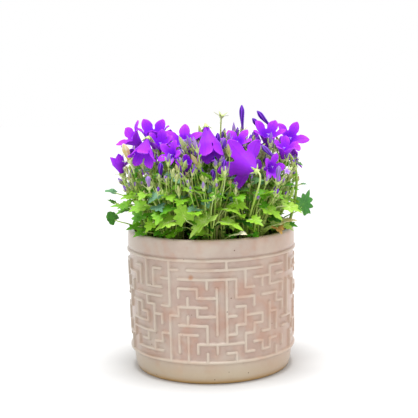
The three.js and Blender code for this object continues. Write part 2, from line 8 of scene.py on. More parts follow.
import logging
import math
from collections.abc import Sequence
from dataclasses import dataclass, field
from enum import Enum, IntEnum
from itertools import pairwise
from typing import Any

import bpy
import numpy as np
from mathutils import Matrix, Vector


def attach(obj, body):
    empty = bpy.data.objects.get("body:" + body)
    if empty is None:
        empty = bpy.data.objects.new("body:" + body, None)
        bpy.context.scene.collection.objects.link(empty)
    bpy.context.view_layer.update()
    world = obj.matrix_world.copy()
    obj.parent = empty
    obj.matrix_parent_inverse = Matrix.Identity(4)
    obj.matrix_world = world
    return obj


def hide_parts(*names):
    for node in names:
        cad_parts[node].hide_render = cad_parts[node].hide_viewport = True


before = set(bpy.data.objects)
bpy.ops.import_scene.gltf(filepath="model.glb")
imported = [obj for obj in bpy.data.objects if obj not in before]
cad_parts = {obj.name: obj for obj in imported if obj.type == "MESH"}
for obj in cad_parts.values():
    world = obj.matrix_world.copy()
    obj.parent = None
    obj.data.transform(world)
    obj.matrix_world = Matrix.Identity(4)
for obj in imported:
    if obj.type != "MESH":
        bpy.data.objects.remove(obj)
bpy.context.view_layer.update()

LOG = logging.getLogger("bellflower")
MM = 0.001
TURN = 2.0 * math.pi
UP = np.array([0.0, 0.0, 1.0])
NORTH = np.array([0.0, 1.0, 0.0])
FLOWER_PARTS = 5  # lobes, sepals and folds of every flower

Array = np.ndarray
Paint = tuple[float | Array, ...]
Span = tuple[float, float]
Numbers = tuple[float, ...]
Profile = tuple[Span, ...]  # pairs of radius and height, or of two lengths
Place = tuple[float, float, float]
Waves = tuple[tuple[float, int, float], ...]  # each wave's height, count in a turn and phase
Stops = tuple[tuple[float, str], ...]  # places on a colour ramp, with their hex colours
Surface = tuple[tuple[str, Any], ...]  # the main shader's inputs, with their values
Feed = bpy.types.Node | bpy.types.NodeSocket


class Slot(Enum):
    """The record's material slots."""

    GLAZE = "glazed_ceramic"
    SOIL = "potting_soil"
    GREEN = "green_leaf_and_stem"
    PETAL = "violet_petal"
    FURLED = "furled_petal"


class Layer(Enum):
    """The painted values that a mesh carries for its finish, one number for each point."""

    TONE = "tone"  # dark to light, painted shade included; on the pot, glaze thickness with painted shade and highlight
    REACH = "reach"  # from a form's root to its tip, or how bare the pot's foot is
    VEIN = "vein"  # 1 on a rib, 0 beside it
    BLOOM = "bloom"  # a painted bluish sheen on a leaf, flush on a stem, fading on a bud


class ClumpSkin(IntEnum):
    """A clump's finishes, numbered in the order that its mesh holds them."""

    STEM = 0
    LEAF = 1
    FURLED = 2
    DRY = 3
    PISTIL = 4


class BellSkin(IntEnum):
    """An open bell's finishes, numbered in the order that its mesh holds them."""

    PETAL = 0
    PISTIL = 1


UNPAINTED: Paint = (0.0,) * len(Layer)

# ------------ points and directions


def at(bearing: float, distance: float, z: float) -> Array:
    """Return the point at a bearing, a distance from the pot's axis and a height."""
    angle = math.radians(bearing)
    return np.array([distance * math.sin(angle), -distance * math.cos(angle), z])


def toward(bearing: float, lift: float) -> Array:
    """Return the unit direction with a bearing and an angle above the horizontal."""
    slope = math.radians(lift)
    return at(bearing, math.cos(slope), math.sin(slope))


def unit(vector: Array) -> Array:
    """Return a vector's direction with a length of 1."""
    return vector / np.linalg.norm(vector)


def across(axis: Array) -> tuple[Array, Array]:
    """Return two unit directions square to an axis and to each other."""
    guide = NORTH if abs(axis[2]) > 0.9 else UP
    side = unit(np.cross(guide, axis))
    return side, np.cross(axis, side)


def turns(count: int, late: float = 0.0) -> Array:
    """Return angles spread evenly over one turn, begun a share of a step late."""
    return (np.arange(count) + late) / count * TURN


def around(axis: Array, angles: Array) -> Array:
    """Return the directions square to an axis at these angles round it."""
    side, upward = across(axis)
    return np.cos(angles)[..., None] * side + np.sin(angles)[..., None] * upward


def headings(path: Array) -> Array:
    """Return the unit direction of a path at each of its points."""
    ahead = np.gradient(path, axis=0)
    return ahead / np.linalg.norm(ahead, axis=1)[:, None]


def bezier(start: Array, rising: Array, arriving: Array, end: Array, count: int) -> Array:
    """Sample a cubic curve.

    Args:
        start: The curve's first point.
        rising: The point that it leaves towards.
        arriving: The point that it comes in from.
        end: The curve's last point.
        count: How many points to take.

    Returns:
        The points, one a row.
    """
    t = np.linspace(0.0, 1.0, count)[:, None]
    s = 1.0 - t
    return s**3 * start + 3 * s**2 * t * rising + 3 * s * t**2 * arriving + t**3 * end


def smooth(values: Array | float, low: float, high: float) -> Array:
    """Return 0 below low, 1 above high and a soft step between them."""
    share = np.clip((np.asarray(values, float) - low) / (high - low), 0.0, 1.0)
    return share * share * (3.0 - 2.0 * share)


def hump(values: Array, middle: float, width: float) -> Array:
    """Return a bell curve: 1 at the middle, and run out about two widths away."""
    return np.exp(-(((values - middle) / width) ** 2))


def waves(angles: Array, parts: Waves) -> Array:
    """Return the sum of some sine waves round a turn."""
    return sum(height * np.sin(count * angles + phase) for height, count, phase in parts)


class Draw:
    """Numbers from 0 to 1 that are the same on every run."""

    def __init__(self, seed: int) -> None:
        """Start the row of numbers from a seed."""
        self.state = seed

    def __call__(self) -> float:
        """Return the next number."""
        self.state = (1664525 * self.state + 1013904223) % 2**32
        return self.state / 2**32

    def within(self, low: float, high: float) -> float:
        """Return the next number, scaled to lie between two others."""
        return low + (high - low) * self()


# ------------ meshes


def grid(rows: int, columns: int, closed: bool) -> Array:
    """Return the quads of a grid of points.

    Args:
        rows: How many rows of points there are.
        columns: How many points a row has.
        closed: Whether a row's last point joins its first.

    Returns:
        Four indices for each quad. Seen with the rows going away, the front faces outward.
    """
    width = columns if closed else columns - 1
    row, column = np.meshgrid(np.arange(rows - 1), np.arange(width), indexing="ij")
    here = (row * columns + column).ravel()
    beside = (row * columns + (column + 1) % columns).ravel()
    return np.stack([here, beside, beside + columns, here + columns], 1)


@dataclass
class Draft:
    """A mesh that is still being put together from many small forms."""

    points: list[Array] = field(default_factory=list)
    paints: list[Array] = field(default_factory=list)
    faces: list[list[int]] = field(default_factory=list)
    finishes: list[int] = field(default_factory=list)
    creases: set[tuple[int, int]] = field(default_factory=set)
    count: int = 0

    def add(
        self,
        points: Array,
        faces: Sequence[Array],
        finish: int,
        paint: Paint,
        creases: Sequence[tuple[int, int]] = (),
    ) -> None:
        """Add one form.

        Args:
            points: The form's points, one a row.
            faces: Arrays of point indices, a face in each row.
            finish: The number of its finish.
            paint: A number or an array for each layer, in Layer's order.
            creases: Edges, as pairs of indices, where the shading breaks.
        """
        for block in faces:
            self.faces += (block + self.count).tolist()
            self.finishes += [int(finish)] * len(block)
        self.creases |= {(a + self.count, b + self.count) for a, b in creases}
        self.points.append(points)
        self.paints.append(np.stack([np.broadcast_to(value, len(points)) for value in paint], 1))
        self.count += len(points)

    def rings(self, points: Array, finish: int = 0, paint: Paint = UNPAINTED) -> None:
        """Add a closed form from rings of points, with a face over the first ring and the last.

        Args:
            points: The points, by ring and then by place on the ring.
            finish: The number of its finish.
            paint: A number for each layer, or an array with one for each ring or each point.
        """
        rows, sides = points.shape[:2]
        ring = np.arange(sides)[None]
        faces = [grid(rows, sides, True), ring[:, ::-1], ring + (rows - 1) * sides]
        by_ring = [value[:, None] if np.ndim(value) == 1 else value for value in paint]
        spread = tuple(np.broadcast_to(value, (rows, sides)).ravel() for value in by_ring)
        self.add(points.reshape(-1, 3), faces, finish, spread)

    def settle(
        self, name: str, materials: Sequence[bpy.types.Material], node: str, slot: Slot
    ) -> None:
        """Make the piece, let it ride on the plant's one body and stand for a CAD node.

        Args:
            name: The piece's name.
            materials: Its finishes, in the order that the faces count them.
            node: The CAD node that it replaces.
            slot: The material slot meant for it; not used.
        """
        mesh = bpy.data.meshes.new(name)
        mesh.from_pydata((np.concatenate(self.points) * MM).tolist(), [], self.faces)
        for material in materials:
            mesh.materials.append(material)
        mesh.polygons.foreach_set("material_index", self.finishes)
        mesh.polygons.foreach_set("use_smooth", [True] * len(mesh.polygons))
        painted = np.concatenate(self.paints)
        for layer, values in zip(Layer, painted.T, strict=True):
            attribute = mesh.attributes.new(layer.value, "FLOAT", "POINT")
            attribute.data.foreach_set("value", values.astype(np.float32))
        if self.creases:
            sharp = mesh.attributes.new("sharp_edge", "BOOLEAN", "EDGE")
            ends = np.empty(2 * len(mesh.edges), np.int32)
            mesh.edges.foreach_get("vertices", ends)
            pairs = np.sort(ends.reshape(-1, 2), 1).tolist()
            wanted = {(min(pair), max(pair)) for pair in self.creases}
            sharp.data.foreach_set("value", [tuple(pair) in wanted for pair in pairs])
        mesh.update()
        piece = bpy.data.objects.new(name, mesh)
        bpy.context.scene.collection.objects.link(piece)
        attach(piece, "root")
        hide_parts(node)
        LOG.info("%s: %d faces, stands for %s", piece.name, len(piece.data.polygons), node)

    def tube(
        self, path: Array, radii: Array, sides: int, finish: int = 0, paint: Paint = UNPAINTED
    ) -> None:
        """Add a closed tube along a path.

        Args:
            path: The points of its middle line.
            radii: Its radius at each point.
            sides: How many faces go round it.
            finish: The number of its finish.
            paint: Its painted values, as for rings.
        """
        ahead = headings(path)
        side = across(ahead[0])[0]
        sideways = []
        for direction in ahead:
            side = unit(side - direction * (side @ direction))
            sideways.append(side)
        upward = np.cross(ahead, sideways)
        angle = turns(sides)[None, :, None]
        outward = np.cos(angle) * np.array(sideways)[:, None] + np.sin(angle) * upward[:, None]
        self.rings(path[:, None] + radii[:, None, None] * outward, finish, paint)

    def turned(
        self,
        root: Array,
        axis: Array,
        profile: Profile | Array,
        sides: int,
        finish: int = 0,
        paint: Paint = UNPAINTED,
        ribs: tuple[int, float] = (0, 0.0),
    ) -> None:
        """Add a closed form turned round an axis.

        Args:
            root: Where the axis starts.
            axis: The axis's direction.
            profile: Radius and distance along the axis, from the root.
            sides: How many faces go round it.
            finish: The number of its finish.
            paint: Its painted values, as for rings.
            ribs: How many ribs run along it, and their height as a share of the radius.
        """
        count, height = ribs
        swell = 1.0 + height * np.cos(count * turns(sides))
        outward = around(axis, turns(sides)) * swell[:, None]
        rings = [root + axis * ahead + outward * radius for radius, ahead in profile]
        self.rings(np.stack(rings), finish, paint)

    def sliver(
        self, path: Array, upward: Array, widths: Array, thickness: float, finish: int, paint: Paint
    ) -> None:
        """Add a narrow blade, such as a sepal, with a section like a shallow roof.

        Args:
            path: The points of its middle rib, from its base to its tip.
            upward: The direction that its upper face looks to.
            widths: Half its width at each point.
            thickness: How thick it is on its rib.
            finish: The number of its finish.
            paint: Its painted values, as for rings.
        """
        ahead = headings(path)
        side = np.cross(np.broadcast_to(upward, ahead.shape), ahead)
        side /= np.linalg.norm(side, axis=1)[:, None]
        wide = widths[:, None] * side
        thick = thickness * np.minimum(1.0, widths / widths.max() + 0.2)  # thinner at its ends
        high = np.cross(ahead, side) * thick[:, None]
        section = [path - wide + high, path - high * 0.3, path + wide + high, path + high * 0.7]
        self.rings(np.stack(section, 1), finish, paint)

    def shell(
        self, points: Array, faces: Array, thickness: float, finish: int, paint: Paint
    ) -> None:
        """Add a thin closed shell from one sheet, thickened away from the side it faces.

        Args:
            points: The sheet's points. Those at one place are joined.
            faces: Its quads.
            thickness: How thick the shell is.
            finish: The number of its finish.
            paint: An array or a number for each layer.
        """
        keys, chosen, place = np.unique(
            np.round(points, 4), axis=0, return_index=True, return_inverse=True
        )
        count = len(keys)
        sheet: list[list[int]] = []
        for face in place.reshape(-1)[faces].tolist():
            corners = [c for i, c in enumerate(face) if c != face[i - 1]]
            if len(corners) > 2:
                sheet.append(corners)
        normals = np.zeros((count, 3))
        for corners in sheet:
            a, b, c = keys[corners[0]], keys[corners[1]], keys[corners[2]]
            normals[corners] += np.cross(b - a, c - a)
        normals /= np.maximum(np.linalg.norm(normals, axis=1), 1e-12)[:, None]
        directed = {(f[i - 1], f[i]) for f in sheet for i in range(len(f))}
        border = [(a, b) for a, b in directed if (b, a) not in directed]
        back = [[c + count for c in reversed(f)] for f in sheet]
        rim = [[b, a, a + count, b + count] for a, b in border]
        both = np.concatenate([keys, keys - normals * thickness])
        layers = tuple(
            np.tile(value[chosen], 2) if isinstance(value, np.ndarray) else value
            for value in paint
        )
        creases = border + [(a + count, b + count) for a, b in border]
        triangles = [f for f in sheet + back if len(f) == 3]
        quads = [f for f in sheet + back if len(f) == 4] + rim
        blocks = [np.array(block) for block in (triangles, quads) if block]
        self.add(both, blocks, finish, layers, creases)


# ------------ finishes

# A colour mix node's two colour inputs and its colour output, by number.
MIX_FIRST = 6
MIX_SECOND = 7
MIXED = 2


def linear(colour: str) -> tuple[float, float, float, float]:
    """Turn an sRGB colour into the linear numbers that shaders work in.

    Args:
        colour: Its red, green and blue as six hex digits.

    Returns:
        Its linear red, green and blue, and full opacity.
    """
    shares = [int(colour[i : i + 2], 16) / 255.0 for i in (0, 2, 4)]
    red, green, blue = (
        share / 12.92 if share <= 0.04045 else ((share + 0.055) / 1.055) ** 2.4 for share in shares
    )
    return red, green, blue, 1.0


def add(
    tree: bpy.types.NodeTree,
    kind: str,
    settings: dict[str | int, Any] | None = None,
    links: dict[str | int, Feed] | None = None,
) -> bpy.types.Node:
    """Add a node with its settings and links.

    Args:
        tree: The node tree that it goes in.
        kind: The node's type without the words ShaderNode.
        settings: Values for its properties and inputs. The key stops gives a ramp's places and
            hex colours.
        links: For each input, the output that feeds it, or a node for that node's first output.

    Returns:
        The new node.
    """
    made = tree.nodes.new("ShaderNode" + kind)
    for key, value in (settings or {}).items():
        if key == "stops":
            ramp = made.color_ramp
            while len(ramp.elements) < len(value):
                ramp.elements.new(0.5)
            for element, (place, colour) in zip(ramp.elements, value, strict=True):
                element.position = place
                element.color = linear(colour)
        elif isinstance(key, int) or key in made.inputs:
            made.inputs[key].default_value = value
        else:
            setattr(made, key, value)
    for key, source in (links or {}).items():
        is_node = isinstance(source, bpy.types.Node)
        tree.links.new(source.outputs[0] if is_node else source, made.inputs[key])
    return made


@dataclass(frozen=True)
class Canvas:
    """What a pattern is drawn on: the node tree, the place in millimetres and the paint there."""

    tree: bpy.types.NodeTree
    place: Feed
    paint: dict[Layer, Feed]


@dataclass(frozen=True)
class Pattern:
    """What varies over a finish."""

    parts: Sequence[Feed]  # weighed and added up, they choose a colour from the finish's stops
    relief: Feed  # the height of the surface's own small bumps
    tints: Sequence[tuple[Feed, str]] = ()  # how much of which colour is laid over that
    others: dict[str, Feed] = field(default_factory=dict)  # what feeds the shader's other inputs


@dataclass(frozen=True)
class Finish:
    """What every finish has: its name, the values of its surface and the way it is put together."""

    name: str
    roughness: float
    ior: float
    stops: Stops = ()  # the pattern's level, and the colour there
    weights: Numbers = ()  # of the pattern's parts in that level
    shift: float = 0.0  # of that level
    bump: float = 0.0
    bump_mm: float = 0.0
    surface: Surface = ()  # more of the main shader's inputs

    def pattern(self, canvas: Canvas) -> Pattern | None:
        """Return what varies over the finish drawn on a canvas, which is nothing by itself."""
        return None

    def material(self) -> bpy.types.Material:
        """Build the material from the pattern and the surface's values.

        Returns:
            The material, whose patterns have real sizes in millimetres.
        """
        material = bpy.data.materials.new(self.name)
        material.use_nodes = True
        tree = material.node_tree
        tree.nodes.clear()
        metres = add(tree, "TexCoord").outputs["Object"]
        place = add(tree, "VectorMath", {"operation": "SCALE", "Scale": 1 / MM}, {0: metres})
        readers = {layer: add(tree, "Attribute", {"attribute_name": layer.value}) for layer in Layer}
        paint = {layer: reader.outputs["Fac"] for layer, reader in readers.items()}
        pattern = self.pattern(Canvas(tree, place, paint))
        feeds: dict[str | int, Feed] = {}
        if pattern is not None:
            added: dict[str | int, Feed] = {}
            for part, weight in zip(pattern.parts, self.weights, strict=True):
                settings = {"operation": "MULTIPLY_ADD", 1: weight, 2: self.shift}
                added = {2: add(tree, "Math", settings, {0: part, **added})}
            colour = add(tree, "ValToRGB", {"stops": self.stops}, {"Fac": added[2]}).outputs["Color"]
            for amount, tint in pattern.tints:
                settings = {"data_type": "RGBA", MIX_SECOND: linear(tint)}
                mixed = add(tree, "Mix", settings, {"Factor": amount, MIX_FIRST: colour})
                colour = mixed.outputs[MIXED]
            settings = {"Strength": self.bump, "Distance": self.bump_mm * MM}
            bump = add(tree, "Bump", settings, {"Height": pattern.relief})
            feeds = {"Base Color": colour, "Normal": bump, **pattern.others}
        values = {"Roughness": self.roughness, "IOR": self.ior, "Metallic": 0.0}
        shader = add(tree, "BsdfPrincipled", values | dict(self.surface), feeds)
        add(tree, "OutputMaterial", links={"Surface": shader})
        return material


@dataclass(frozen=True)
class GlazedStoneware(Finish):
    """Slip-cast stoneware under a thin milky satin glaze, fired in a kiln.

    The glaze lies thicker and paler on the ridges, lets the pink body show in the recesses, stops
    short of the foot and has a few burst pinholes. The ramp from recess to ridge also carries
    painted shade in the recesses and a painted highlight on the ridges. One side of the pot stood
    nearer to the flame and came out warmer; the other side, at -x, is painted darker and greyer
    as shade.
    """

    name: str = "satin_glazed_stoneware"
    roughness: float = 0.42
    ior: float = 1.52
    # recess, field and ridge: the recess colour is partly painted shade, the ridge colour partly a
    # painted highlight
    stops: Stops = ((0.0, "B69B8E"), (0.45, "BCA89A"), (0.95, "CBBAA9"))
    weights: Numbers = (1.0, 0.35)  # of the ridges' height and the speckle
    shift: float = -0.175
    bump: float = 0.25
    bump_mm: float = 0.15
    surface: Surface = (("Coat Weight", 0.5), ("Coat Roughness", 0.2))
    pale: str = "CDC1B2"
    blush: str = "BE8E76"
    thin: str = "C4B290"
    flame_side: str = "BC957B"
    # painted shade: the colour that darkens and greys the pot's -x side
    painted_shade_side: str = "988B78"
    bare_foot: str = "B89050"
    stain: str = "B8743A"
    pinhole: str = "5A3A22"
    cloud_mm: float = 22.0  # size of the glaze's lighter and darker clouds
    blush_mm: float = 13.0  # size of the places where the glaze is thin and the body shows pink
    speckle_mm: float = 1.6  # unevenness of the satin surface
    pinhole_mm: float = 9.0  # mean distance between pinholes
    stain_at: Place = (-15.6, -63.6, 82.4)  # an iron speck in the clay
    stain_mm: float = 2.6

    def pattern(self, canvas: Canvas) -> Pattern:
        """Lay the clouds, the blush, the kiln's sides, the bare foot, the speck and the pinholes.

        Args:
            canvas: What it is drawn on.

        Returns:
            What varies over the glaze.
        """
        tree, paint, here = canvas.tree, canvas.paint, {"Vector": canvas.place}
        cloud_look = {"Scale": 1 / self.cloud_mm, "Detail": 3.0, "Roughness": 0.6}
        cloud = add(tree, "TexNoise", cloud_look, here)
        speckle = add(tree, "TexNoise", {"Scale": 1 / self.speckle_mm, "Detail": 2.0}, here)
        blotch = add(tree, "TexNoise", {"Scale": 1 / self.blush_mm, "Detail": 2.0}, here)
        cells = add(tree, "TexVoronoi", {"Scale": 1 / self.pinhole_mm}, here)
        axes = add(tree, "SeparateXYZ", links={0: canvas.place}).outputs
        to_stain = {"operation": "DISTANCE", 1: self.stain_at}
        apart = add(tree, "VectorMath", to_stain, {0: canvas.place}).outputs["Value"]
        # Each overlay's source, the values where it starts and is full, its strength and colour.
        overlays = (
            (blotch, 0.48, 0.66, 0.5, self.blush),
            (cloud, 0.44, 0.64, 0.5, self.pale),
            (axes["Z"], 20.0, 8.0, 0.6, self.thin),
            (axes["X"], 20.0, 64.0, 0.5, self.flame_side),
            # painted shade over the -x side
            (axes["X"], -25.0, -66.0, 0.55, self.painted_shade_side),
            (paint[Layer.REACH], 0.0, 1.0, 1.0, self.bare_foot),
            (apart, self.stain_mm, 0.0, 1.0, self.stain),
            (cells, 0.06, 0.035, 1.0, self.pinhole),
        )
        tints = []
        for source, start, full, strength, tint in overlays:
            settings = {"From Min": start, "From Max": full, "To Max": strength}
            tints.append((add(tree, "MapRange", settings, {"Value": source}), tint))
        pit = tints[-1][0]
        satin = {"From Min": 0.3, "From Max": 0.7, "To Min": 0.34, "To Max": 0.5}
        rough = add(tree, "MapRange", satin, {"Value": cloud})
        skin = add(tree, "Math", {"operation": "SUBTRACT"}, {0: speckle, 1: pit})
        return Pattern([paint[Layer.TONE], speckle], skin, tints, {"Roughness": rough})


@dataclass(frozen=True)
class PeatCompost(Finish):
    """Moist peat-based potting compost, sieved and pressed in by hand.

    It is dark brown in its gaps and rusty brown on the fibres and crumbs that dry out first.
    """

    name: str = "moist_peat_compost"
    roughness: float = 0.95
    ior: float = 1.4
    # the gaps, the damp crumbs and the dry fibres
    stops: Stops = ((0.12, "2C2010"), (0.24, "564020"), (0.42, "8A6A34"))
    weights: Numbers = (1.0,)
    bump: float = 0.8
    bump_mm: float = 0.6
    crumb_mm: float = 2.2
    fibre_mm: float = 0.6

    def pattern(self, canvas: Canvas) -> Pattern:
        """Mix fine fibres with coarser crumbs.

        Args:
            canvas: What it is drawn on.

        Returns:
            What varies over the compost.
        """
        tree, here = canvas.tree, {"Vector": canvas.place}
        crumb = {"Scale": 1 / self.crumb_mm, "Detail": 4.0, "Roughness": 0.7}
        fibre = {"Scale": 1 / self.fibre_mm, "Detail": 2.0, "Distortion": 1.5}
        crumbs, fibres = (add(tree, "TexNoise", look, here) for look in (crumb, fibre))
        mixed = add(tree, "Math", {"operation": "MULTIPLY"}, {0: crumbs, 1: fibres})
        return Pattern([mixed], mixed)


@dataclass(frozen=True)
class LeafSkin(Finish):
    """A living leaf's skin, smooth and faintly waxy over a net of ribs.

    Young leaves are a pale yellow-green, grown ones a full green, and some carry a painted bluish
    sheen. Leaves low down and deep inside the plant are painted darker, as shade. The ribs are
    paler than the blade between them, and the skin has a soft gloss.
    """

    name: str = "living_leaf_skin"
    roughness: float = 0.48
    ior: float = 1.42
    # painted shade, grown, bright, young and palest
    stops: Stops = (
        (0.0, "285C10"), (0.3, "428A18"), (0.58, "74B022"), (0.82, "9CC83E"), (1.0, "CCE090"),
    )
    weights: Numbers = (1.0, 0.3, -0.12, 0.22)  # of the tone, blotches, net and ribs
    shift: float = -0.15
    bump: float = 0.35
    bump_mm: float = 0.2
    surface: Surface = (
        ("Specular IOR Level", 0.35),
        ("Subsurface Weight", 0.12),
        ("Subsurface Radius", (0.6, 1.0, 0.3)),
        ("Subsurface Scale", 0.8 * MM),
    )
    lime: str = "94CC10"
    # the colour of the painted bluish sheen laid on some leaves
    bloom: str = "6E968C"
    blotch_mm: float = 5.0  # uneven colour inside one blade
    drift_mm: float = 22.0  # from limier leaves to bluer ones
    cell_mm: float = 0.9  # net of fine ribs, drawn about three times too coarse so that it shows
    rib_edge: float = 3.0  # how sharply a rib's paler line ends

    def pattern(self, canvas: Canvas) -> Pattern:
        """Lay the blotches, the net and the ribs, and the lime and the bluish bloom over them.

        Args:
            canvas: What it is drawn on.

        Returns:
            What varies over the leaf.
        """
        tree, paint, here = canvas.tree, canvas.paint, {"Vector": canvas.place}
        tone = paint[Layer.TONE]
        blotch = add(tree, "TexNoise", {"Scale": 1 / self.blotch_mm, "Detail": 2.0}, here)
        drift = add(tree, "TexNoise", {"Scale": 1 / self.drift_mm, "Detail": 1.0}, here)
        net = add(tree, "TexVoronoi", {"Scale": 1 / self.cell_mm, "feature": "SMOOTH_F1"}, here)
        sharp = {"operation": "POWER", 1: self.rib_edge}
        fine = add(tree, "Math", sharp, {0: paint[Layer.VEIN]})
        limy = {"From Min": 0.46, "From Max": 0.66, "To Max": 0.6}
        drifted = add(tree, "MapRange", limy, {"Value": drift})
        bright = add(tree, "Math", {"operation": "MULTIPLY"}, {0: drifted, 1: tone})
        raised = add(tree, "Math", {"operation": "SUBTRACT"}, {0: net, 1: fine})
        # the lime, then the painted bluish sheen
        tints = [(bright, self.lime), (paint[Layer.BLOOM], self.bloom)]
        return Pattern([tone, blotch, net, fine], raised, tints)


@dataclass(frozen=True)
class DryLeafSkin(Finish):
    """A withered leaf: dead tissue that has dried, without gloss.

    It runs from straw yellow through tan to brown along the edges, with paler ribs.
    """

    name: str = "dried_leaf_skin"
    roughness: float = 0.75
    ior: float = 1.4
    # brown, tan, straw and cream
    stops: Stops = (
        (0.0, "8A6430"), (0.4, "C0984C"), (0.75, "D6C884"), (1.0, "E2DEC4"),
    )
    weights: Numbers = (1.0, 0.8, 0.15)  # of the tone, patches and ribs
    shift: float = -0.45
    bump: float = 0.4
    bump_mm: float = 0.2
    patch_mm: float = 3.0

    def pattern(self, canvas: Canvas) -> Pattern:
        """Return what varies over the dried leaf: its patches and its ribs."""
        look = {"Scale": 1 / self.patch_mm, "Detail": 3.0}
        patch = add(canvas.tree, "TexNoise", look, {"Vector": canvas.place})
        return Pattern([canvas.paint[Layer.TONE], patch, canvas.paint[Layer.VEIN]], patch)


@dataclass(frozen=True)
class StemSkin(Finish):
    """The smooth, faintly ridged skin of a soft green stem.

    Stems are yellow-green where the sun reaches them, olive lower down and flushed pinkish brown
    where they are old.
    """

    name: str = "soft_stem_skin"
    roughness: float = 0.5
    ior: float = 1.42
    # low down, olive, fresh and light
    stops: Stops = (
        (0.0, "527E1E"), (0.35, "8CB03A"), (0.7, "B2D25C"), (1.0, "D4E49C"),
    )
    weights: Numbers = (1.0, 0.75, 0.3)  # of the tone, the way up the stem and streaks
    shift: float = -0.6
    bump: float = 0.3
    bump_mm: float = 0.1
    flushed: str = "B08A70"
    streak_mm: float = 0.7

    def pattern(self, canvas: Canvas) -> Pattern:
        """Lay the streaks, and the flush over them.

        Args:
            canvas: What it is drawn on.

        Returns:
            What varies over the stem.
        """
        look = {"Scale": 1 / self.streak_mm, "Detail": 2.0}
        streak = add(canvas.tree, "TexNoise", look, {"Vector": canvas.place})
        paint = canvas.paint
        tints = [(paint[Layer.BLOOM], self.flushed)]
        return Pattern([paint[Layer.TONE], paint[Layer.REACH], streak], streak, tints)


@dataclass(frozen=True)
class PetalSkin(Finish):
    """A fresh petal: thin, velvety cells that scatter light, along a few deeper ribs.

    The colour is a full violet that deepens on the ribs and towards the throat, pales a little
    at the lobes' edges, and has a faint velvet sheen but no gloss.
    """

    name: str = "fresh_violet_petal"
    roughness: float = 0.62
    ior: float = 1.4
    # the throat, deep, full and the lobes' edge
    stops: Stops = (
        (0.05, "9022DC"), (0.35, "A828F2"), (0.62, "BC3CFC"), (1.0, "D07AFE"),
    )
    weights: Numbers = (1.0, 0.4, 0.62, -0.22)  # of the tone, clouds, reach and ribs
    shift: float = -0.2
    bump: float = 0.25
    bump_mm: float = 0.15
    surface: Surface = (
        ("Sheen Weight", 0.1),
        ("Sheen Tint", linear("C090FF")),
        ("Specular IOR Level", 0.3),
        ("Subsurface Weight", 0.2),
        ("Subsurface Radius", (0.8, 0.2, 1.0)),
        ("Subsurface Scale", 0.8 * MM),
    )
    crease_mm: float = 0.8  # the velvet's creases, several times too coarse so that they show
    cloud_mm: float = 6.0
    rib_edge: float = 2.5  # how sharply a rib's deeper line ends

    def pattern(self, canvas: Canvas) -> Pattern:
        """Lay the clouds and the ribs, with the velvet's fine creases as relief.

        Args:
            canvas: What it is drawn on.

        Returns:
            What varies over the petal.
        """
        tree, paint, here = canvas.tree, canvas.paint, {"Vector": canvas.place}
        cloud = add(tree, "TexNoise", {"Scale": 1 / self.cloud_mm, "Detail": 3.0}, here)
        crease = add(tree, "TexNoise", {"Scale": 1 / self.crease_mm, "Detail": 2.0}, here)
        sharp = {"operation": "POWER", 1: self.rib_edge}
        fine = add(tree, "Math", sharp, {0: paint[Layer.VEIN]})
        raised = add(tree, "Math", {"operation": "SUBTRACT"}, {0: crease, 1: fine})
        return Pattern([paint[Layer.TONE], cloud, paint[Layer.REACH], fine], raised)


@dataclass(frozen=True)
class FurledPetalSkin(Finish):
    """An unopened petal: the same cells packed tighter, folded along five ribs.

    It is a darker, bluer violet than an open bell, painted very dark in the folds as shade and
    lighter along the ribs as a highlight.
    """

    name: str = "furled_violet_petal"
    roughness: float = 0.5
    ior: float = 1.4
    # the folds (painted shade), the sides and the ribs (painted highlight)
    stops: Stops = ((0.1, "3C0488"), (0.5, "6812C2"), (0.95, "9040E2"))
    weights: Numbers = (1.0, 0.3)  # of the ribs and the streaks
    shift: float = -0.15
    bump: float = 0.25
    bump_mm: float = 0.12
    base: str = "8A62AC"
    faded: str = "B49ACA"
    streak_mm: float = 1.2

    def pattern(self, canvas: Canvas) -> Pattern:
        """Lay the streaks, with a paler base and the wax over them.

        Args:
            canvas: What it is drawn on.

        Returns:
            What varies over the furled petals.
        """
        look = {"Scale": 1 / self.streak_mm, "Detail": 2.0}
        tree, paint = canvas.tree, canvas.paint
        streak = add(tree, "TexNoise", look, {"Vector": canvas.place})
        fading = {"From Max": 0.3, "To Min": 0.7, "To Max": 0.0}
        young = add(tree, "MapRange", fading, {"Value": paint[Layer.REACH]})
        tints = [(young, self.base), (paint[Layer.BLOOM], self.faded)]
        return Pattern([paint[Layer.VEIN], streak], streak, tints)


@dataclass(frozen=True)
class PistilSkin(Finish):
    """The moist, waxy tissue of a pistil and its stamens, violet with lilac pollen."""

    name: str = "waxy_pistil"
    roughness: float = 0.4
    ior: float = 1.42
    stops: Stops = ((0.15, "8E3CE0"), (0.85, "CDA8F0"))  # stalk and pollen
    weights: Numbers = (1.0, 0.3)  # of the tone and the grain
    bump: float = 0.3
    bump_mm: float = 0.1
    grain_mm: float = 0.5

    def pattern(self, canvas: Canvas) -> Pattern:
        """Return what varies over the pistil: its grain."""
        look = {"Scale": 1 / self.grain_mm, "Detail": 1.0}
        grain = add(canvas.tree, "TexNoise", look, {"Vector": canvas.place})
        return Pattern([canvas.paint[Layer.TONE], grain], grain)


@dataclass(frozen=True)
class MattPalePaint(Finish):
    """The studio floor: matt pale grey paint, rolled on, that bright light turns white."""

    name: str = "matt_pale_floor_paint"
    roughness: float = 0.9
    ior: float = 1.45
    surface: Surface = (
        ("Base Color", linear("D2D2D2")),
        ("Specular IOR Level", 0.0),
    )


# ------------ pot

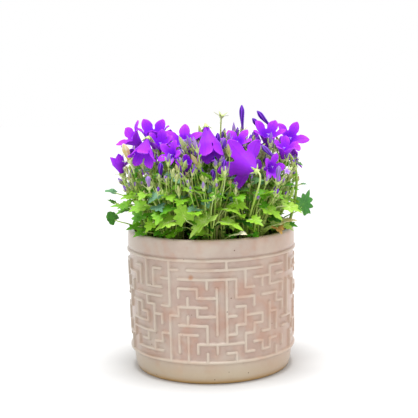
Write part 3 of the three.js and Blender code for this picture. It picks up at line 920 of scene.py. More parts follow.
# The fret's ridges on its first half turn; the second half turn repeats them. For rows 1 to 10
# from the top: the columns that each ridge runs between.
ROW_SPANS = (
    ((0, 2), (4, 5), (7, 8), (9, 10), (11, 19), (20, 22), (24, 26)),
    ((2, 4), (8, 9), (10, 16), (18, 20), (21, 22), (25, 27)),
    ((0, 1), (6, 8), (10, 12), (17, 18), (20, 22), (24, 25)),
    ((1, 3), (4, 8), (12, 14), (16, 18), (19, 21), (25, 27)),
    ((3, 5), (6, 7), (8, 9), (10, 13), (16, 17), (21, 22), (25, 28)),
    ((0, 2), (5, 6), (7, 8), (9, 10), (12, 14), (15, 16), (17, 19), (20, 21)),
    ((3, 6), (10, 13), (16, 17), (18, 19), (22, 24)),
    ((0, 1), (3, 7), (8, 9), (10, 12), (15, 16), (17, 18), (19, 20), (22, 23), (25, 27)),
    ((1, 3), (5, 6), (7, 8), (12, 17), (18, 19), (20, 21), (24, 25)),
    ((4, 8), (15, 16), (17, 18), (19, 20), (24, 27)),
)
# For columns 0 to 27: the rows that each ridge runs between.
COLUMN_SPANS = (
    ((1, 3), (6, 8)), ((3, 4), (8, 9)), ((1, 2), (4, 6), (9, 11)), ((3, 4), (7, 9)),
    ((2, 3), (5, 7), (9, 10)), ((1, 3), (5, 6)), ((0, 3), (4, 5), (6, 7), (8, 9)),
    ((1, 3), (5, 8), (9, 10)), ((6, 7), (8, 9)), ((0, 5), (6, 11)), ((3, 4), (5, 6), (8, 10)),
    ((4, 5), (6, 7), (8, 11)), ((3, 4), (5, 6), (9, 10)), ((2, 3), (7, 9), (10, 11)),
    ((3, 8), (9, 10)), ((0, 1), (2, 9)), ((2, 4), (7, 8), (10, 11)), ((1, 3), (5, 7), (8, 10)),
    ((4, 5), (7, 8)), ((2, 3), (6, 7), (9, 10)), ((1, 3), (5, 8), (9, 10)),
    ((4, 5), (6, 8), (10, 11)), ((3, 4), (5, 6), (9, 10)), ((0, 2), (3, 7)),
    ((1, 2), (7, 8), (9, 11)), ((3, 5), (8, 9)), ((1, 2), (6, 8)), ((4, 5), (8, 10)),
)


@dataclass
class FretPot:
    """The cast pot: a foot band, a fret of rounded ridges between two rings, and a rim band."""

    finish: GlazedStoneware = GlazedStoneware()
    fret_top: float = 94.6
    fret_bottom: float = 17.6
    high_radius: float = 64.6  # of the wall behind the fret, at its top
    low_radius: float = 63.5
    rows: int = 11
    columns: int = 56
    period: int = 28  # the columns after which the drawing repeats
    middle_bearing: float = 3.0  # of the drawing
    lift: float = 1.6  # how far the ridges stand out
    crown: float = 0.55  # half of a ridge's rounded top
    skirt: float = 1.75  # from a ridge's middle to where its side has run out
    ring_swell: float = 0.25  # the two rings stand out a little more
    ring_width: float = 2.2
    even_cover: float = 0.42  # how thick the glaze lies on the smooth bands; 1 is as on a ridge
    bare_height: Span = (0.6, 4.5)  # where the glaze starts and is full
    # How far the mesh's lines in each cell lie from the cell's first edge.
    cell_lines: Numbers = (-1.75, -1.4, -1.0, -0.55, 0.55, 1.0, 1.4, 1.75, 3.5)
    wobble: float = 0.22  # how far a hand-finished casting is out of round
    inset: float = 0.6  # the share of that by which it is drawn in to keep its size
    out_of_round: Waves = ((0.6, 2, 0.7), (0.4, 3, 2.1))
    uneven_lift: Waves = ((0.12, 7, 1.0), (0.08, 13, 0.0))
    # Radius and height from the foot up, over the rim band, and down inside to the floor.
    foot_band: Profile = (
        (58.4, 0.0), (59.1, 0.15), (59.7, 0.6), (60.3, 1.5), (60.9, 3.0),
        (61.5, 5.2), (62.0, 8.0), (62.25, 11.0), (62.4, 13.6), (62.55, 15.2),
    )
    rim_band: Profile = (
        (65.6, 97.4), (65.6, 99.5), (65.55, 102.0), (65.5, 104.5), (65.4, 106.5),
        (65.3, 107.8), (65.1, 108.6), (64.75, 109.2), (64.25, 109.65), (63.65, 109.9),
    )
    inside: Profile = (
        (62.6, 110.0), (61.4, 109.9), (60.5, 109.5), (59.9, 108.8), (59.6, 107.5), (59.5, 104.0),
        (59.45, 98.0), (58.8, 60.0), (58.0, 15.0), (56.7, 11.0), (53.2, 9.3), (46.2, 9.0),
    )

    @property
    def cell_wide(self) -> float:
        """The width of one of the fret's cells."""
        return TURN * (self.high_radius + self.low_radius) / 2 / self.columns

    @property
    def cell_high(self) -> float:
        """The height of one of the fret's cells."""
        return (self.fret_top - self.fret_bottom) / self.rows

    def ridges(self, sideways: Array, down: Array) -> Array:
        """Return how high the fret stands at each line, from 0 on the wall to 1 on a ridge.

        Args:
            sideways: Places round the pot, in columns.
            down: Places down the fret, in rows.

        Returns:
            The heights, with a row for each place down the fret.
        """
        wide, high = self.cell_wide, self.cell_high
        u, v = np.meshgrid(sideways % self.period, down)
        nearest = np.minimum(np.abs(v), np.abs(v - self.rows)) * high
        for shift in (-self.period, 0, self.period):
            level = ((v - row - 1, spans) for row, spans in enumerate(ROW_SPANS))
            upright = ((u - column - shift, spans) for column, spans in enumerate(COLUMN_SPANS))
            ways = ((level, u - shift, wide, high), (upright, v, high, wide))
            for lines, along, step, off_step in ways:
                for off, spans in lines:
                    for low, end in spans:
                        short = np.maximum(np.maximum(low - along, along - end), 0.0)
                        nearest = np.minimum(nearest, np.hypot(short * step, off * off_step))
        return 1.0 - smooth(nearest, self.crown, self.skirt)

    def build(self) -> None:
        """Build the pot as one closed mesh."""
        offsets = np.array(self.cell_lines)
        sideways = (np.arange(self.columns)[:, None] + offsets / self.cell_wide).ravel()
        down = (np.arange(self.rows + 1)[:, None] + offsets / self.cell_high).ravel()[:-1]
        field_z = (self.fret_top - down * self.cell_high)[::-1]
        share = (field_z - self.fret_bottom) / (self.fret_top - self.fret_bottom)
        field_radius = self.low_radius + (self.high_radius - self.low_radius) * share
        fret = np.stack([field_radius, field_z], 1)
        radii, heights = np.concatenate([self.foot_band, fret, self.rim_band, self.inside]).T
        on_fret = slice(len(self.foot_band), len(self.foot_band) + len(fret))
        relief = np.zeros((len(heights), len(sideways)))
        relief[on_fret] = self.ridges(sideways, down)[::-1]
        # how thick the glaze lies, which also paints shade into the recesses and a highlight onto the
        # ridges
        glaze_and_painted_light = np.full(relief.shape, self.even_cover)
        glaze_and_painted_light[on_fret] = relief[on_fret]
        is_outside = (np.arange(len(heights)) < len(heights) - len(self.inside))[:, None]
        bearing = np.radians(self.middle_bearing + (sideways - self.period / 2) * 360 / self.columns)
        rings = sum(hump(heights, z, self.ring_width) for z in (self.fret_top, self.fret_bottom))
        lift = self.lift * (1.0 + waves(bearing, self.uneven_lift))[None]
        lift = lift + self.ring_swell * rings[:, None]
        drift = waves(bearing, self.out_of_round)[None] - self.inset
        radius = radii[:, None] + is_outside * self.wobble * drift + relief * lift
        level = np.broadcast_to(heights[:, None], radius.shape)
        points = np.stack([radius * np.sin(bearing), -radius * np.cos(bearing), level], -1)
        foot = (1.0 - smooth(level, *self.bare_height)) * is_outside
        draft = Draft()
        draft.rings(points, 0, (glaze_and_painted_light, foot, 0.0, 0.0))
        draft.settle("fret_pot", [self.finish.material()], "pot", Slot.GLAZE)


# ------------ soil and crowns


@dataclass
class Compost:
    """The potting compost: a low dome that the crowns stand in, with crumbs on it."""

    finish: PeatCompost = PeatCompost()
    edge: float = 101.5
    middle: float = 104.0
    radius: float = 59.1
    reach: float = 59.5
    rings: int = 46
    sides: int = 144
    lump: float = 0.45  # how far its points stand up and down at random
    sunk: float = 0.3  # how far the dome lies under the level that crumbs and crowns stand on
    crumbs: int = 420
    crumb_sizes: Span = (0.5, 1.5)
    # Radius and height of the side, from the pot's floor up.
    side: Profile = ((45.2, 9.4), (51.2, 9.6), (56.6, 12.0), (57.6, 16.0), (59.1, 98.0))
    crumb: Profile = ((0.33, -1.0), (0.88, -0.6), (1.1, 0.0), (0.77, 0.6), (0.275, 0.95))

    def ground(self, distance: Array | float) -> Array | float:
        """Return the compost's height at a distance from the pot's axis."""
        return self.middle - (self.middle - self.edge) * (distance / self.reach) ** 2

    def build(self) -> None:
        """Build the dome and its crumbs as one mesh."""
        draft = Draft()
        draw = Draw(77)
        random = np.random.default_rng(11)
        angle = turns(self.sides)
        distance = np.concatenate([[r for r, _ in self.side], np.linspace(self.radius, 0.4, self.rings)])
        x, y = distance[:, None] * np.cos(angle), distance[:, None] * np.sin(angle)
        lumps = 0.5 * np.sin(x * 0.9 + 1.3) * np.sin(y * 0.8) + 0.35 * np.sin(x * 2.1 + y * 1.7)
        first = len(self.side)
        lumps[first:] += random.uniform(-self.lump, self.lump, (self.rings, self.sides))
        lumps[first] = 0.0
        z = self.ground(distance)[:, None] + lumps - self.sunk
        z[:first] = np.array([height for _, height in self.side])[:, None]
        draft.rings(np.stack([x, y, z], -1))
        for _ in range(self.crumbs):
            place = at(draw.within(0, 360), self.radius * math.sqrt(draw.within(0.0, 0.93)), 0.0)
            size = draw.within(*self.crumb_sizes)
            place[2] = self.ground(math.hypot(place[0], place[1])) + 0.3 * size - self.sunk
            axis = toward(draw.within(0, 360), draw.within(-30, 90))
            draft.turned(place, axis, np.array(self.crumb) * size, 7, ribs=(3, 0.25))
        draft.settle("peat_compost", [self.finish.material()], "soil", Slot.SOIL)


@dataclass(frozen=True)
class Crown:
    """Where a clump stands in the compost, and how far to each side its leaves grow."""

    bearing: float
    distance: float
    sector: float
    outer: bool

    def place(self, z: float) -> Array:
        """Return the point on the crown's own upright line at a height."""
        return at(self.bearing, self.distance, z)


CROWNS = tuple(
    [Crown(bearing, 17.0, 45.0, False) for bearing in (45, 135, 225, 315)]
    + [Crown(bearing, 43.0, 20.0, True) for bearing in range(0, 360, 40)]
)


@dataclass(frozen=True)
class Growth:
    """What grows on a crown: its place and the way that it points. By itself, a small flower."""

    x: float
    y: float
    z: float
    bearing: float
    lift: float

    @property
    def facing(self) -> Array:
        """The direction that it points in."""
        return toward(self.bearing, self.lift)

    @property
    def root(self) -> Array:
        """Where it begins, at the end of its stem."""
        return np.array([self.x, self.y, self.z], float)


# ------------ flowers


@dataclass(frozen=True)
class Bell(Growth):
    """An open bell: the place is its mouth's middle, and the turn is that of its lobes."""

    size: float
    open: float
    turn: float

    @property
    def root(self) -> Array:
        """Where the bell's tube begins."""
        return np.array([self.x, self.y, self.z]) - self.facing * BELL_LENGTH * self.size


@dataclass(frozen=True)
class Bud(Growth):
    """A furled bell, with its length and how far its colour has faded."""

    length: float
    faded: float = 0.0


@dataclass(frozen=True)
class Spent(Growth):
    """A flower that is over: its sepals' length, and that of the dried bell if it still hangs on."""

    sepals: float
    dried: float = 0.0


BELL_LENGTH = 11.0  # of a bell's tube, from its root to its mouth

BELLS = tuple(
    Bell(*row)
    for row in (
        (-59, -14, 182, -70, 40, 0.95, 0.85, 18), (-43, -1, 184, -5, 72, 1.15, 0.5, -18),
        (-49, -35, 172, -20, -52, 1.05, 0.4, 0), (-70, -12, 162, -80, 76, 0.7, 0.05, 0),
        (-20, -13, 179, -10, 55, 1, 0.95, 18), (-29, -36, 171, -30, 25, 0.7, 0.9, 0),
        (-0.2, -40, 177.1, 20, -68, 1.25, 0.15, 0), (21, -20, 178, -10, 60, 0.9, 0.85, -18),
        (26, -45.4, 163.3, -150, 14, 1.4, 0.95, -18), (46.5, -40, 159.5, 40, 10, 0.75, 0.9, 0),
        (45, -15, 183, 10, 62, 1, 0.7, -18), (63, -6, 179, 30, 35, 0.95, 0.95, -18),
        (57, -26, 173, 20, 65, 0.85, 0.6, 18), (-60, 16, 166, -100, 30, 1, 1, 10),
        (-36, 28, 170, -160, 40, 1.05, 1, 30), (-10, 14, 168, 170, 60, 1, 0.9, 0),
        (8, 36, 160, 170, 30, 1.05, 1, 20), (-22, 50, 156, -160, 15, 1, 1, 40),
        (24, 12, 172, 110, 60, 0.95, 0.9, 0), (41, 34, 167, 140, 35, 1.05, 1, 15),
        (64, 22, 165, 100, 25, 1, 1, 35), (10, 62, 150, 175, 10, 1, 0.9, 25),
        (-50, 46, 156, -135, 20, 1, 1, 5), (38, 60, 153, 150, 15, 0.95, 1, 45),
        (-37.4, -18.8, 178, 10, 55, 0.85, 0.45, 0), (-19, -36, 162, 0, 60, 0.75, 0.3, 0),
        (1, -17.5, 167.5, -20, 45, 0.8, 0.8, 18),
    )
)
BUDS = tuple(
    Bud(*row)
    for row in (
        (26, -4, 186, -20, 86, 19), (42, 2, 184, -60, 48, 14), (48, 2, 187.5, -60, 46, 17.5),
        (6.5, -27, 169.5, 0, 88, 16), (49, -32, 166, -85, 45, 14, 0.15), (10, -54, 157, 30, 80, 11),
        (2.5, -53, 152, 0, 84, 9), (-3, -46, 154, -75, 55, 12.5), (-37, -36, 153, 20, 82, 12),
        (-45, -50, 148.5, -30, 82, 8, 0.6), (50, -46, 150, 30, 80, 12, 0.5),
        (-14, 34, 160, -170, 74, 14), (24, 44, 156, 160, 70, 15),
    )
)
# These are only on the dressed plant.
SPENT = (Spent(10, -5, 198, 40, 80, 6.5), Spent(-60, -34, 167, -90, 70, 5.0, 13.0))
STARLETS = (Growth(34.5, -50, 140.3, 0, 15), Growth(57, -45, 157, 20, 30))
SIDE_BUDS = tuple(
    Growth(*row)
    for row in (
        (63, -14, 160, 80, 75), (62, -22, 157, 70, 80), (66, -8, 155, 90, 75),
        (64, -17, 149, 80, 80), (67, -11, 145, 85, 70), (58, -28, 163, 70, 80),
        (60, -30, 152, 50, 80), (-63, -16, 155, -80, 75), (-66, -6, 152, -90, 75),
        (-60, -26, 158, -70, 80), (-65, -12, 146, -80, 75), (-61, -20, 149, -60, 80),
    )
)


@dataclass
class OpenBell:
    """An open bell: a funnel with five pointed oval lobes, its pistil and its stamens."""

    pose: Bell
    number: int
    skins: list[bpy.types.Material]
    root_radius: float = 1.7
    mouth: float = 7.0
    tip: float = 15.5
    flare: float = 1.3  # how late the tube widens
    rise_shut: float = 1.15
    rise_open: float = 0.4
    point: float = 0.68  # how sharply a lobe ends: more is sharper
    belly: float = 1.2  # how much wider a lobe grows on its way out
    notch: float = 0.14  # how far the gaps between the lobes cut in, and where
    ruffle: float = 1.6
    cupped: float = 0.55  # how far a lobe's sides lie back
    petal: float = 0.45  # thickness
    tube_rows: int = 9
    lobe_rows: int = 13
    columns: int = 13  # odd, so that one runs down the middle rib
    rib: float = 0.35  # how deep the middle rib's crease is
    rib_width: float = 0.07
    style: float = 9.0  # the style's length
    lip_radii: Numbers = (0.45, 0.4, 0.36, 0.32, 0.26, 0.14)
    anther_radii: Numbers = (0.16, 0.16, 0.34, 0.38, 0.3, 0.1)

    def lobe(self, index: int, draw: Draw) -> tuple[Array, Array, Array]:
        """Shape one fifth of the bell.

        Args:
            index: Which fifth.
            draw: Gives its small differences.

        Returns:
            Its points in rows from the root to the lobe's tip, how far along each is, and how
            near to a rib.
        """
        pose = self.pose
        aside = np.linspace(-1.0, 1.0, self.columns)
        tilt = draw.within(-0.1, 0.16)
        stretch = draw.within(0.94, 1.05)
        wave, phase = draw.within(0.1, 0.35), draw.within(0.0, TURN)
        tube = np.linspace(0.0, 1.0, self.tube_rows)
        tube_radius = self.root_radius + (self.mouth - self.root_radius) * tube**self.flare
        tube_radius = tube_radius + 0.15 * np.sin(math.pi * tube)
        share = 1.0 - (1.0 - np.linspace(0.0, 1.0, self.lobe_rows)[1:]) ** 1.3
        reach = (self.tip - self.mouth) * stretch
        lobe_radius = self.mouth + reach * pose.open * share
        rise = self.rise_shut + (self.rise_open - self.rise_shut) * pose.open
        curl = 1.0 - (1.0 - share) ** 2
        lobe_ahead = BELL_LENGTH + reach * (rise * (share + curl) / 2 + tilt * share)
        half = (1.0 - share) ** self.point * (1.0 + self.belly * share)
        half = half - self.notch * hump(share, self.notch, 0.1)
        half = half * self.mouth * math.sin(math.pi / FLOWER_PARTS)
        half_angle = np.arcsin(np.clip(half / lobe_radius, 0.0, 0.99))
        half_angle = np.concatenate([np.full(self.tube_rows, math.pi / FLOWER_PARTS), half_angle])
        radius = np.concatenate([tube_radius, lobe_radius])[:, None]
        ahead = np.concatenate([BELL_LENGTH * tube, lobe_ahead])[:, None]
        opening = np.concatenate([np.zeros(self.tube_rows), share])[:, None]
        crease = hump(aside, 0.0, 2 * self.rib_width)[None]
        ruffle = self.ruffle * wave * np.sin(3.0 * aside + 5.0 * opening + phase)
        ahead = ahead - self.rib * crease * np.sqrt(opening + 0.02)
        ahead = ahead + opening * aside**2 * (ruffle - self.cupped)
        middle = math.radians(pose.turn) + index / FLOWER_PARTS * TURN
        outward = around(pose.facing, middle + half_angle[:, None] * aside)
        offset = ahead[..., None] * pose.facing + radius[..., None] * outward
        along = np.linspace(0.0, 1.0, len(radius))[:, None] * np.ones(self.columns)[None]
        ribs = hump(aside, 0.0, self.rib_width) + 0.6 * hump(np.abs(aside), 0.5, self.rib_width)
        return pose.root + pose.size * offset, along, np.broadcast_to(ribs[None], along.shape)

    def build(self) -> None:
        """Build the bell as one mesh of a thin petal shell, a pistil and five stamens."""
        draw = Draw(self.number * 31 + 7)
        fifths = [self.lobe(index, draw) for index in range(FLOWER_PARTS)]
        rows = self.tube_rows + self.lobe_rows - 1
        points, along, ribs = (np.concatenate(layer) for layer in zip(*fifths, strict=True))
        quads = grid(rows, self.columns, False)
        faces = np.concatenate([quads + i * rows * self.columns for i in range(FLOWER_PARTS)])
        draft = Draft()
        paint = (draw.within(-0.06, 0.12), along.ravel(), ribs.ravel(), draw())
        thickness = self.petal * self.pose.size
        draft.shell(points.reshape(-1, 3), faces, thickness, BellSkin.PETAL, paint)
        self.add_pistil(draft, draw)
        node = f"bell_{self.number:02d}"
        draft.settle(f"open_{node}", self.skins, node, Slot.PETAL)

    def add_pistil(self, draft: Draft, draw: Draw) -> None:
        """Add the style with its three curled tips, and five spent stamens round its foot.

        Args:
            draft: The mesh to add them to.
            draw: Gives their small differences.
        """
        root, facing, size = self.pose.root, self.pose.facing, self.pose.size
        side, upward = across(facing)
        foot = root + facing * 1.2 * size
        bend = side * draw.within(-0.8, 0.8) + upward * draw.within(-0.8, 0.8)
        end = foot + facing * self.style * size + bend
        path = bezier(foot, foot + facing * 4 * size, end - facing * 4 * size, end, 8)
        paint = (0.1, np.linspace(0.0, 1.0, 8), 0.0, 0.0)
        draft.tube(path, np.linspace(0.4, 0.45, 8) * size, 6, BellSkin.PISTIL, paint)
        lip_radii, anther_radii = np.array(self.lip_radii), np.array(self.anther_radii)
        for outward in around(facing, turns(3) + 0.4):
            tip = end + (outward * 1.5 + facing * 0.2) * size
            arriving = tip + facing * 0.9 * size
            lip = bezier(end, end + facing * 1.1 * size, arriving, tip, len(lip_radii))
            draft.tube(lip, lip_radii * size, 5, BellSkin.PISTIL, (0.6, 1.0, 0.0, 0.0))
        for outward in around(facing, turns(FLOWER_PARTS, 0.5)):
            start = root + (facing + outward) * size
            tip = start + (facing * draw.within(3.2, 4.2) + outward * draw.within(0.5, 1.1)) * size
            arriving = tip - facing * 1.2 * size
            anther = bezier(start, start + facing * size, arriving, tip, len(anther_radii))
            draft.tube(anther, anther_radii * size, 5, BellSkin.PISTIL, (0.9, 1.0, 0.0, 0.0))


@dataclass
class FurledBell:
    """A furled bell: a slim club with its five petals folded and twisted round one another."""

    pose: Bud
    number: int
    skin: bpy.types.Material
    radius: float = 2.1
    root_radius: float = 1.05
    folds: float = 0.16
    twist: float = 1.1
    rings: int = 26
    sides: int = 30

    def build(self) -> None:
        """Build the furled bell as one closed mesh."""
        pose = self.pose
        share = np.linspace(0.0, 1.0, self.rings) ** 0.9
        size = self.root_radius + (self.radius - self.root_radius) * smooth(share, 0.1, 0.72)
        closing = np.sqrt(np.clip(1.0 - smooth(share, 0.74, 1.04), 0.0, 1.0))
        size = size * np.maximum(closing, 0.14)
        turn = turns(self.sides)
        ribs = 0.5 + 0.5 * np.cos(FLOWER_PARTS * turn)[None]
        fold = self.folds * smooth(share, 0.05, 0.4)[:, None]
        wide = size[:, None] * (1.0 - fold * (1.0 - ribs))
        outward = around(pose.facing, turn[None] + self.twist * share[:, None])
        middle = pose.root + share[:, None] * pose.length * pose.facing
        draft = Draft()
        draft.rings(middle[:, None] + wide[..., None] * outward, 0, (0.0, share, ribs, pose.faded))
        node = f"bud_{self.number:02d}"
        draft.settle(f"furled_bell_{self.number:02d}", [self.skin], node, Slot.FURLED)


# ------------ green growth


@dataclass(frozen=True)
class LeafPose:
    """Where a leaf's stalk joins its blade, the ways that the blade points, and its looks."""

    joint: Array
    tipward: Array
    upward: Array
    length: float
    tone: float
    bloom: float
    withered: bool = False
    rounded: bool = False

    @property
    def middle(self) -> Array:
        """The middle of the blade."""
        return self.joint + self.tipward * self.length * 0.4


@dataclass(frozen=True)
class LargeLeaf(Growth):
    """A leaf placed one by one, with how steeply its upper face looks up."""

    length: float
    tone: float
    # how much painted bluish sheen the leaf carries
    bloom: float = 0.0
    face: float = 76.0
    withered: bool = False
    rounded: bool = False
    sunward: float = 50.0  # how far a leaf at the side has turned to the front, to the light

    def pose(self) -> LeafPose:
        """Work out the leaf's pose.

        Returns:
            The pose, with its upper face turned up and out.
        """
        outward = math.atan2(self.x, -self.y)
        to_light = math.degrees(outward) - self.sunward * math.sin(outward)
        upward = toward(to_light, self.face)
        looks = (self.length, self.tone, self.bloom, self.withered, self.rounded)
        return LeafPose(self.root, self.facing, upward, *looks)


# Place, bearing, lift, length and tone (low, as painted shade, for leaves low down and deep inside), and
# where they differ a painted bluish sheen, face, withered and rounded.
LARGE_LEAVES = tuple(
    LargeLeaf(*row)
    for row in (
        (1, -61, 127, -67, -28, 23, 0.9, 0, 84), (8, -62, 123, 75, -8, 17, 0.86, 0, 82),
        (-27, -58, 124, -75, -12, 15, 0.84, 0, 66), (-18, -60, 124, -50, 62, 16, 0.78, 0, 20),
        (-12, -66, 131, 12, 8, 13, 0.7, 0, 74), (11, -57, 132, 60, -5, 13, 0.84, 0, 80),
        (29, -58, 124, 50, -8, 12, 0.8, 0, 66), (40, -50, 131, 75, -22, 16, 0.76, 0, 72),
        (54, -42, 131, 85, -8, 16, 0.86, 0, 66), (-42, -47, 122, -50, -32, 11, 0.78, 0, 60),
        (-47, -44, 134, -60, -6, 16, 0.7, 0, 62), (69.5, -8, 123, 88, 57, 17.5, 0.32, 0.15, 14),
        (-73, -15, 118, -95, 40, 9.5, 0.12, 0, 10, False, True),
        (-73, -8, 138.5, -90, 25, 9, 0.35, 0.5, 76, False, True), (52, -40, 117, 60, -10, 12, 0.88),
        (2, 62, 122, 170, 12, 18, 0.7), (-30, 56, 124, -160, 5, 16, 0.6),
        (30, 57, 122, 150, 10, 16, 0.8), (-52, 40, 120, -130, 10, 15, 0.5),
        (52, 41, 124, 130, 5, 15, 0.7), (68, 18, 122, 100, 15, 14, 0.4),
        (-67, 16, 124, -100, 15, 14, 0.6),
    )
)
# Leaves that only the dressed plant has: withered ones at the rim, and smaller ones, with those deep
# inside painted dark as shade and some with a painted bluish sheen.
RIM_LEAVES = tuple(
    LargeLeaf(*row)
    for row in (
        (52, -43, 118, 70, 25, 13, 0.8, 0, 76, True), (49, -46, 116, 20, -10, 10, 0.3, 0, 76, True),
        (19, -63, 114, 50, 15, 9, 1.0, 0, 76, True), (-74, -10, 131, -90, 38, 7, 0.3),
        (-54, -26, 115, -80, 0, 11, 0.4, 0, 60), (-50, -34, 112, -60, -5, 10, 0.5, 0, 60),
        (56, -24, 115, 70, 0, 11, 0.35, 0, 60), (-36, -48, 113, -40, 10, 9, 0.3, 0, 60),
        (30, -52, 112, 30, 5, 9, 0.3, 0, 60), (71, -8, 143, 90, 10, 5, 0.4, 0.5),
        (68, -8, 160, 85, -20, 6, 0.3, 0.2), (-56, -30, 139, -60, 5, 13, 0.72, 0, 62),
        (-36, -53, 129, -20, -20, 13, 0.6, 0, 62), (-50, -38, 127, -40, -20, 14, 0.45, 0, 60),
        (-31, -50, 142, 15, -5, 12, 0.68, 0, 66), (-60, -24, 132, -75, -5, 12, 0.55, 0, 62),
        (-20, -55, 139, -20, -5, 12, 0.62, 0, 68), (-9, -54, 148, 30, 5, 10, 0.55),
        (20, -54, 141, 20, -5, 11, 0.5, 0, 66), (34, -47, 143, 25, -10, 11, 0.4, 0, 66),
        (46, -42, 141, 45, -10, 12, 0.6, 0, 62), (0, -47, 120, 5, -5, 14, 0.1, 0, 60),
        (24, -45, 122, 25, -5, 14, 0.08, 0, 60), (-29, -43, 121, -30, -5, 14, 0.12, 0, 60),
        (44, -34, 122, 50, -5, 14, 0.15, 0, 60), (14, -50, 112, 10, 0, 11, 0.15, 0, 55),
        (-12, -50, 112, -10, 0, 11, 0.2, 0, 55), (60, -22, 140, 60, 20, 9, 0.5),
        (62, -18, 150, 40, 30, 8, 0.6), (61, -20, 127, 50, 0, 12, 0.35),
        (-62, -20, 127, -60, 0, 12, 0.45), (-40, -48, 134, 20, -5, 12, 0.4, 0.7, 50),
        (-4, -50, 139, 10, -10, 14, 0.45, 0.7, 50), (4, -45, 146, -30, 0, 11, 0.5, 0.75, 55),
        (-25, -40, 155, 10, -10, 12, 0.45, 0.7, 55), (-47, -48, 143, -30, -5, 11, 0.75, 0, 70),
    )
)


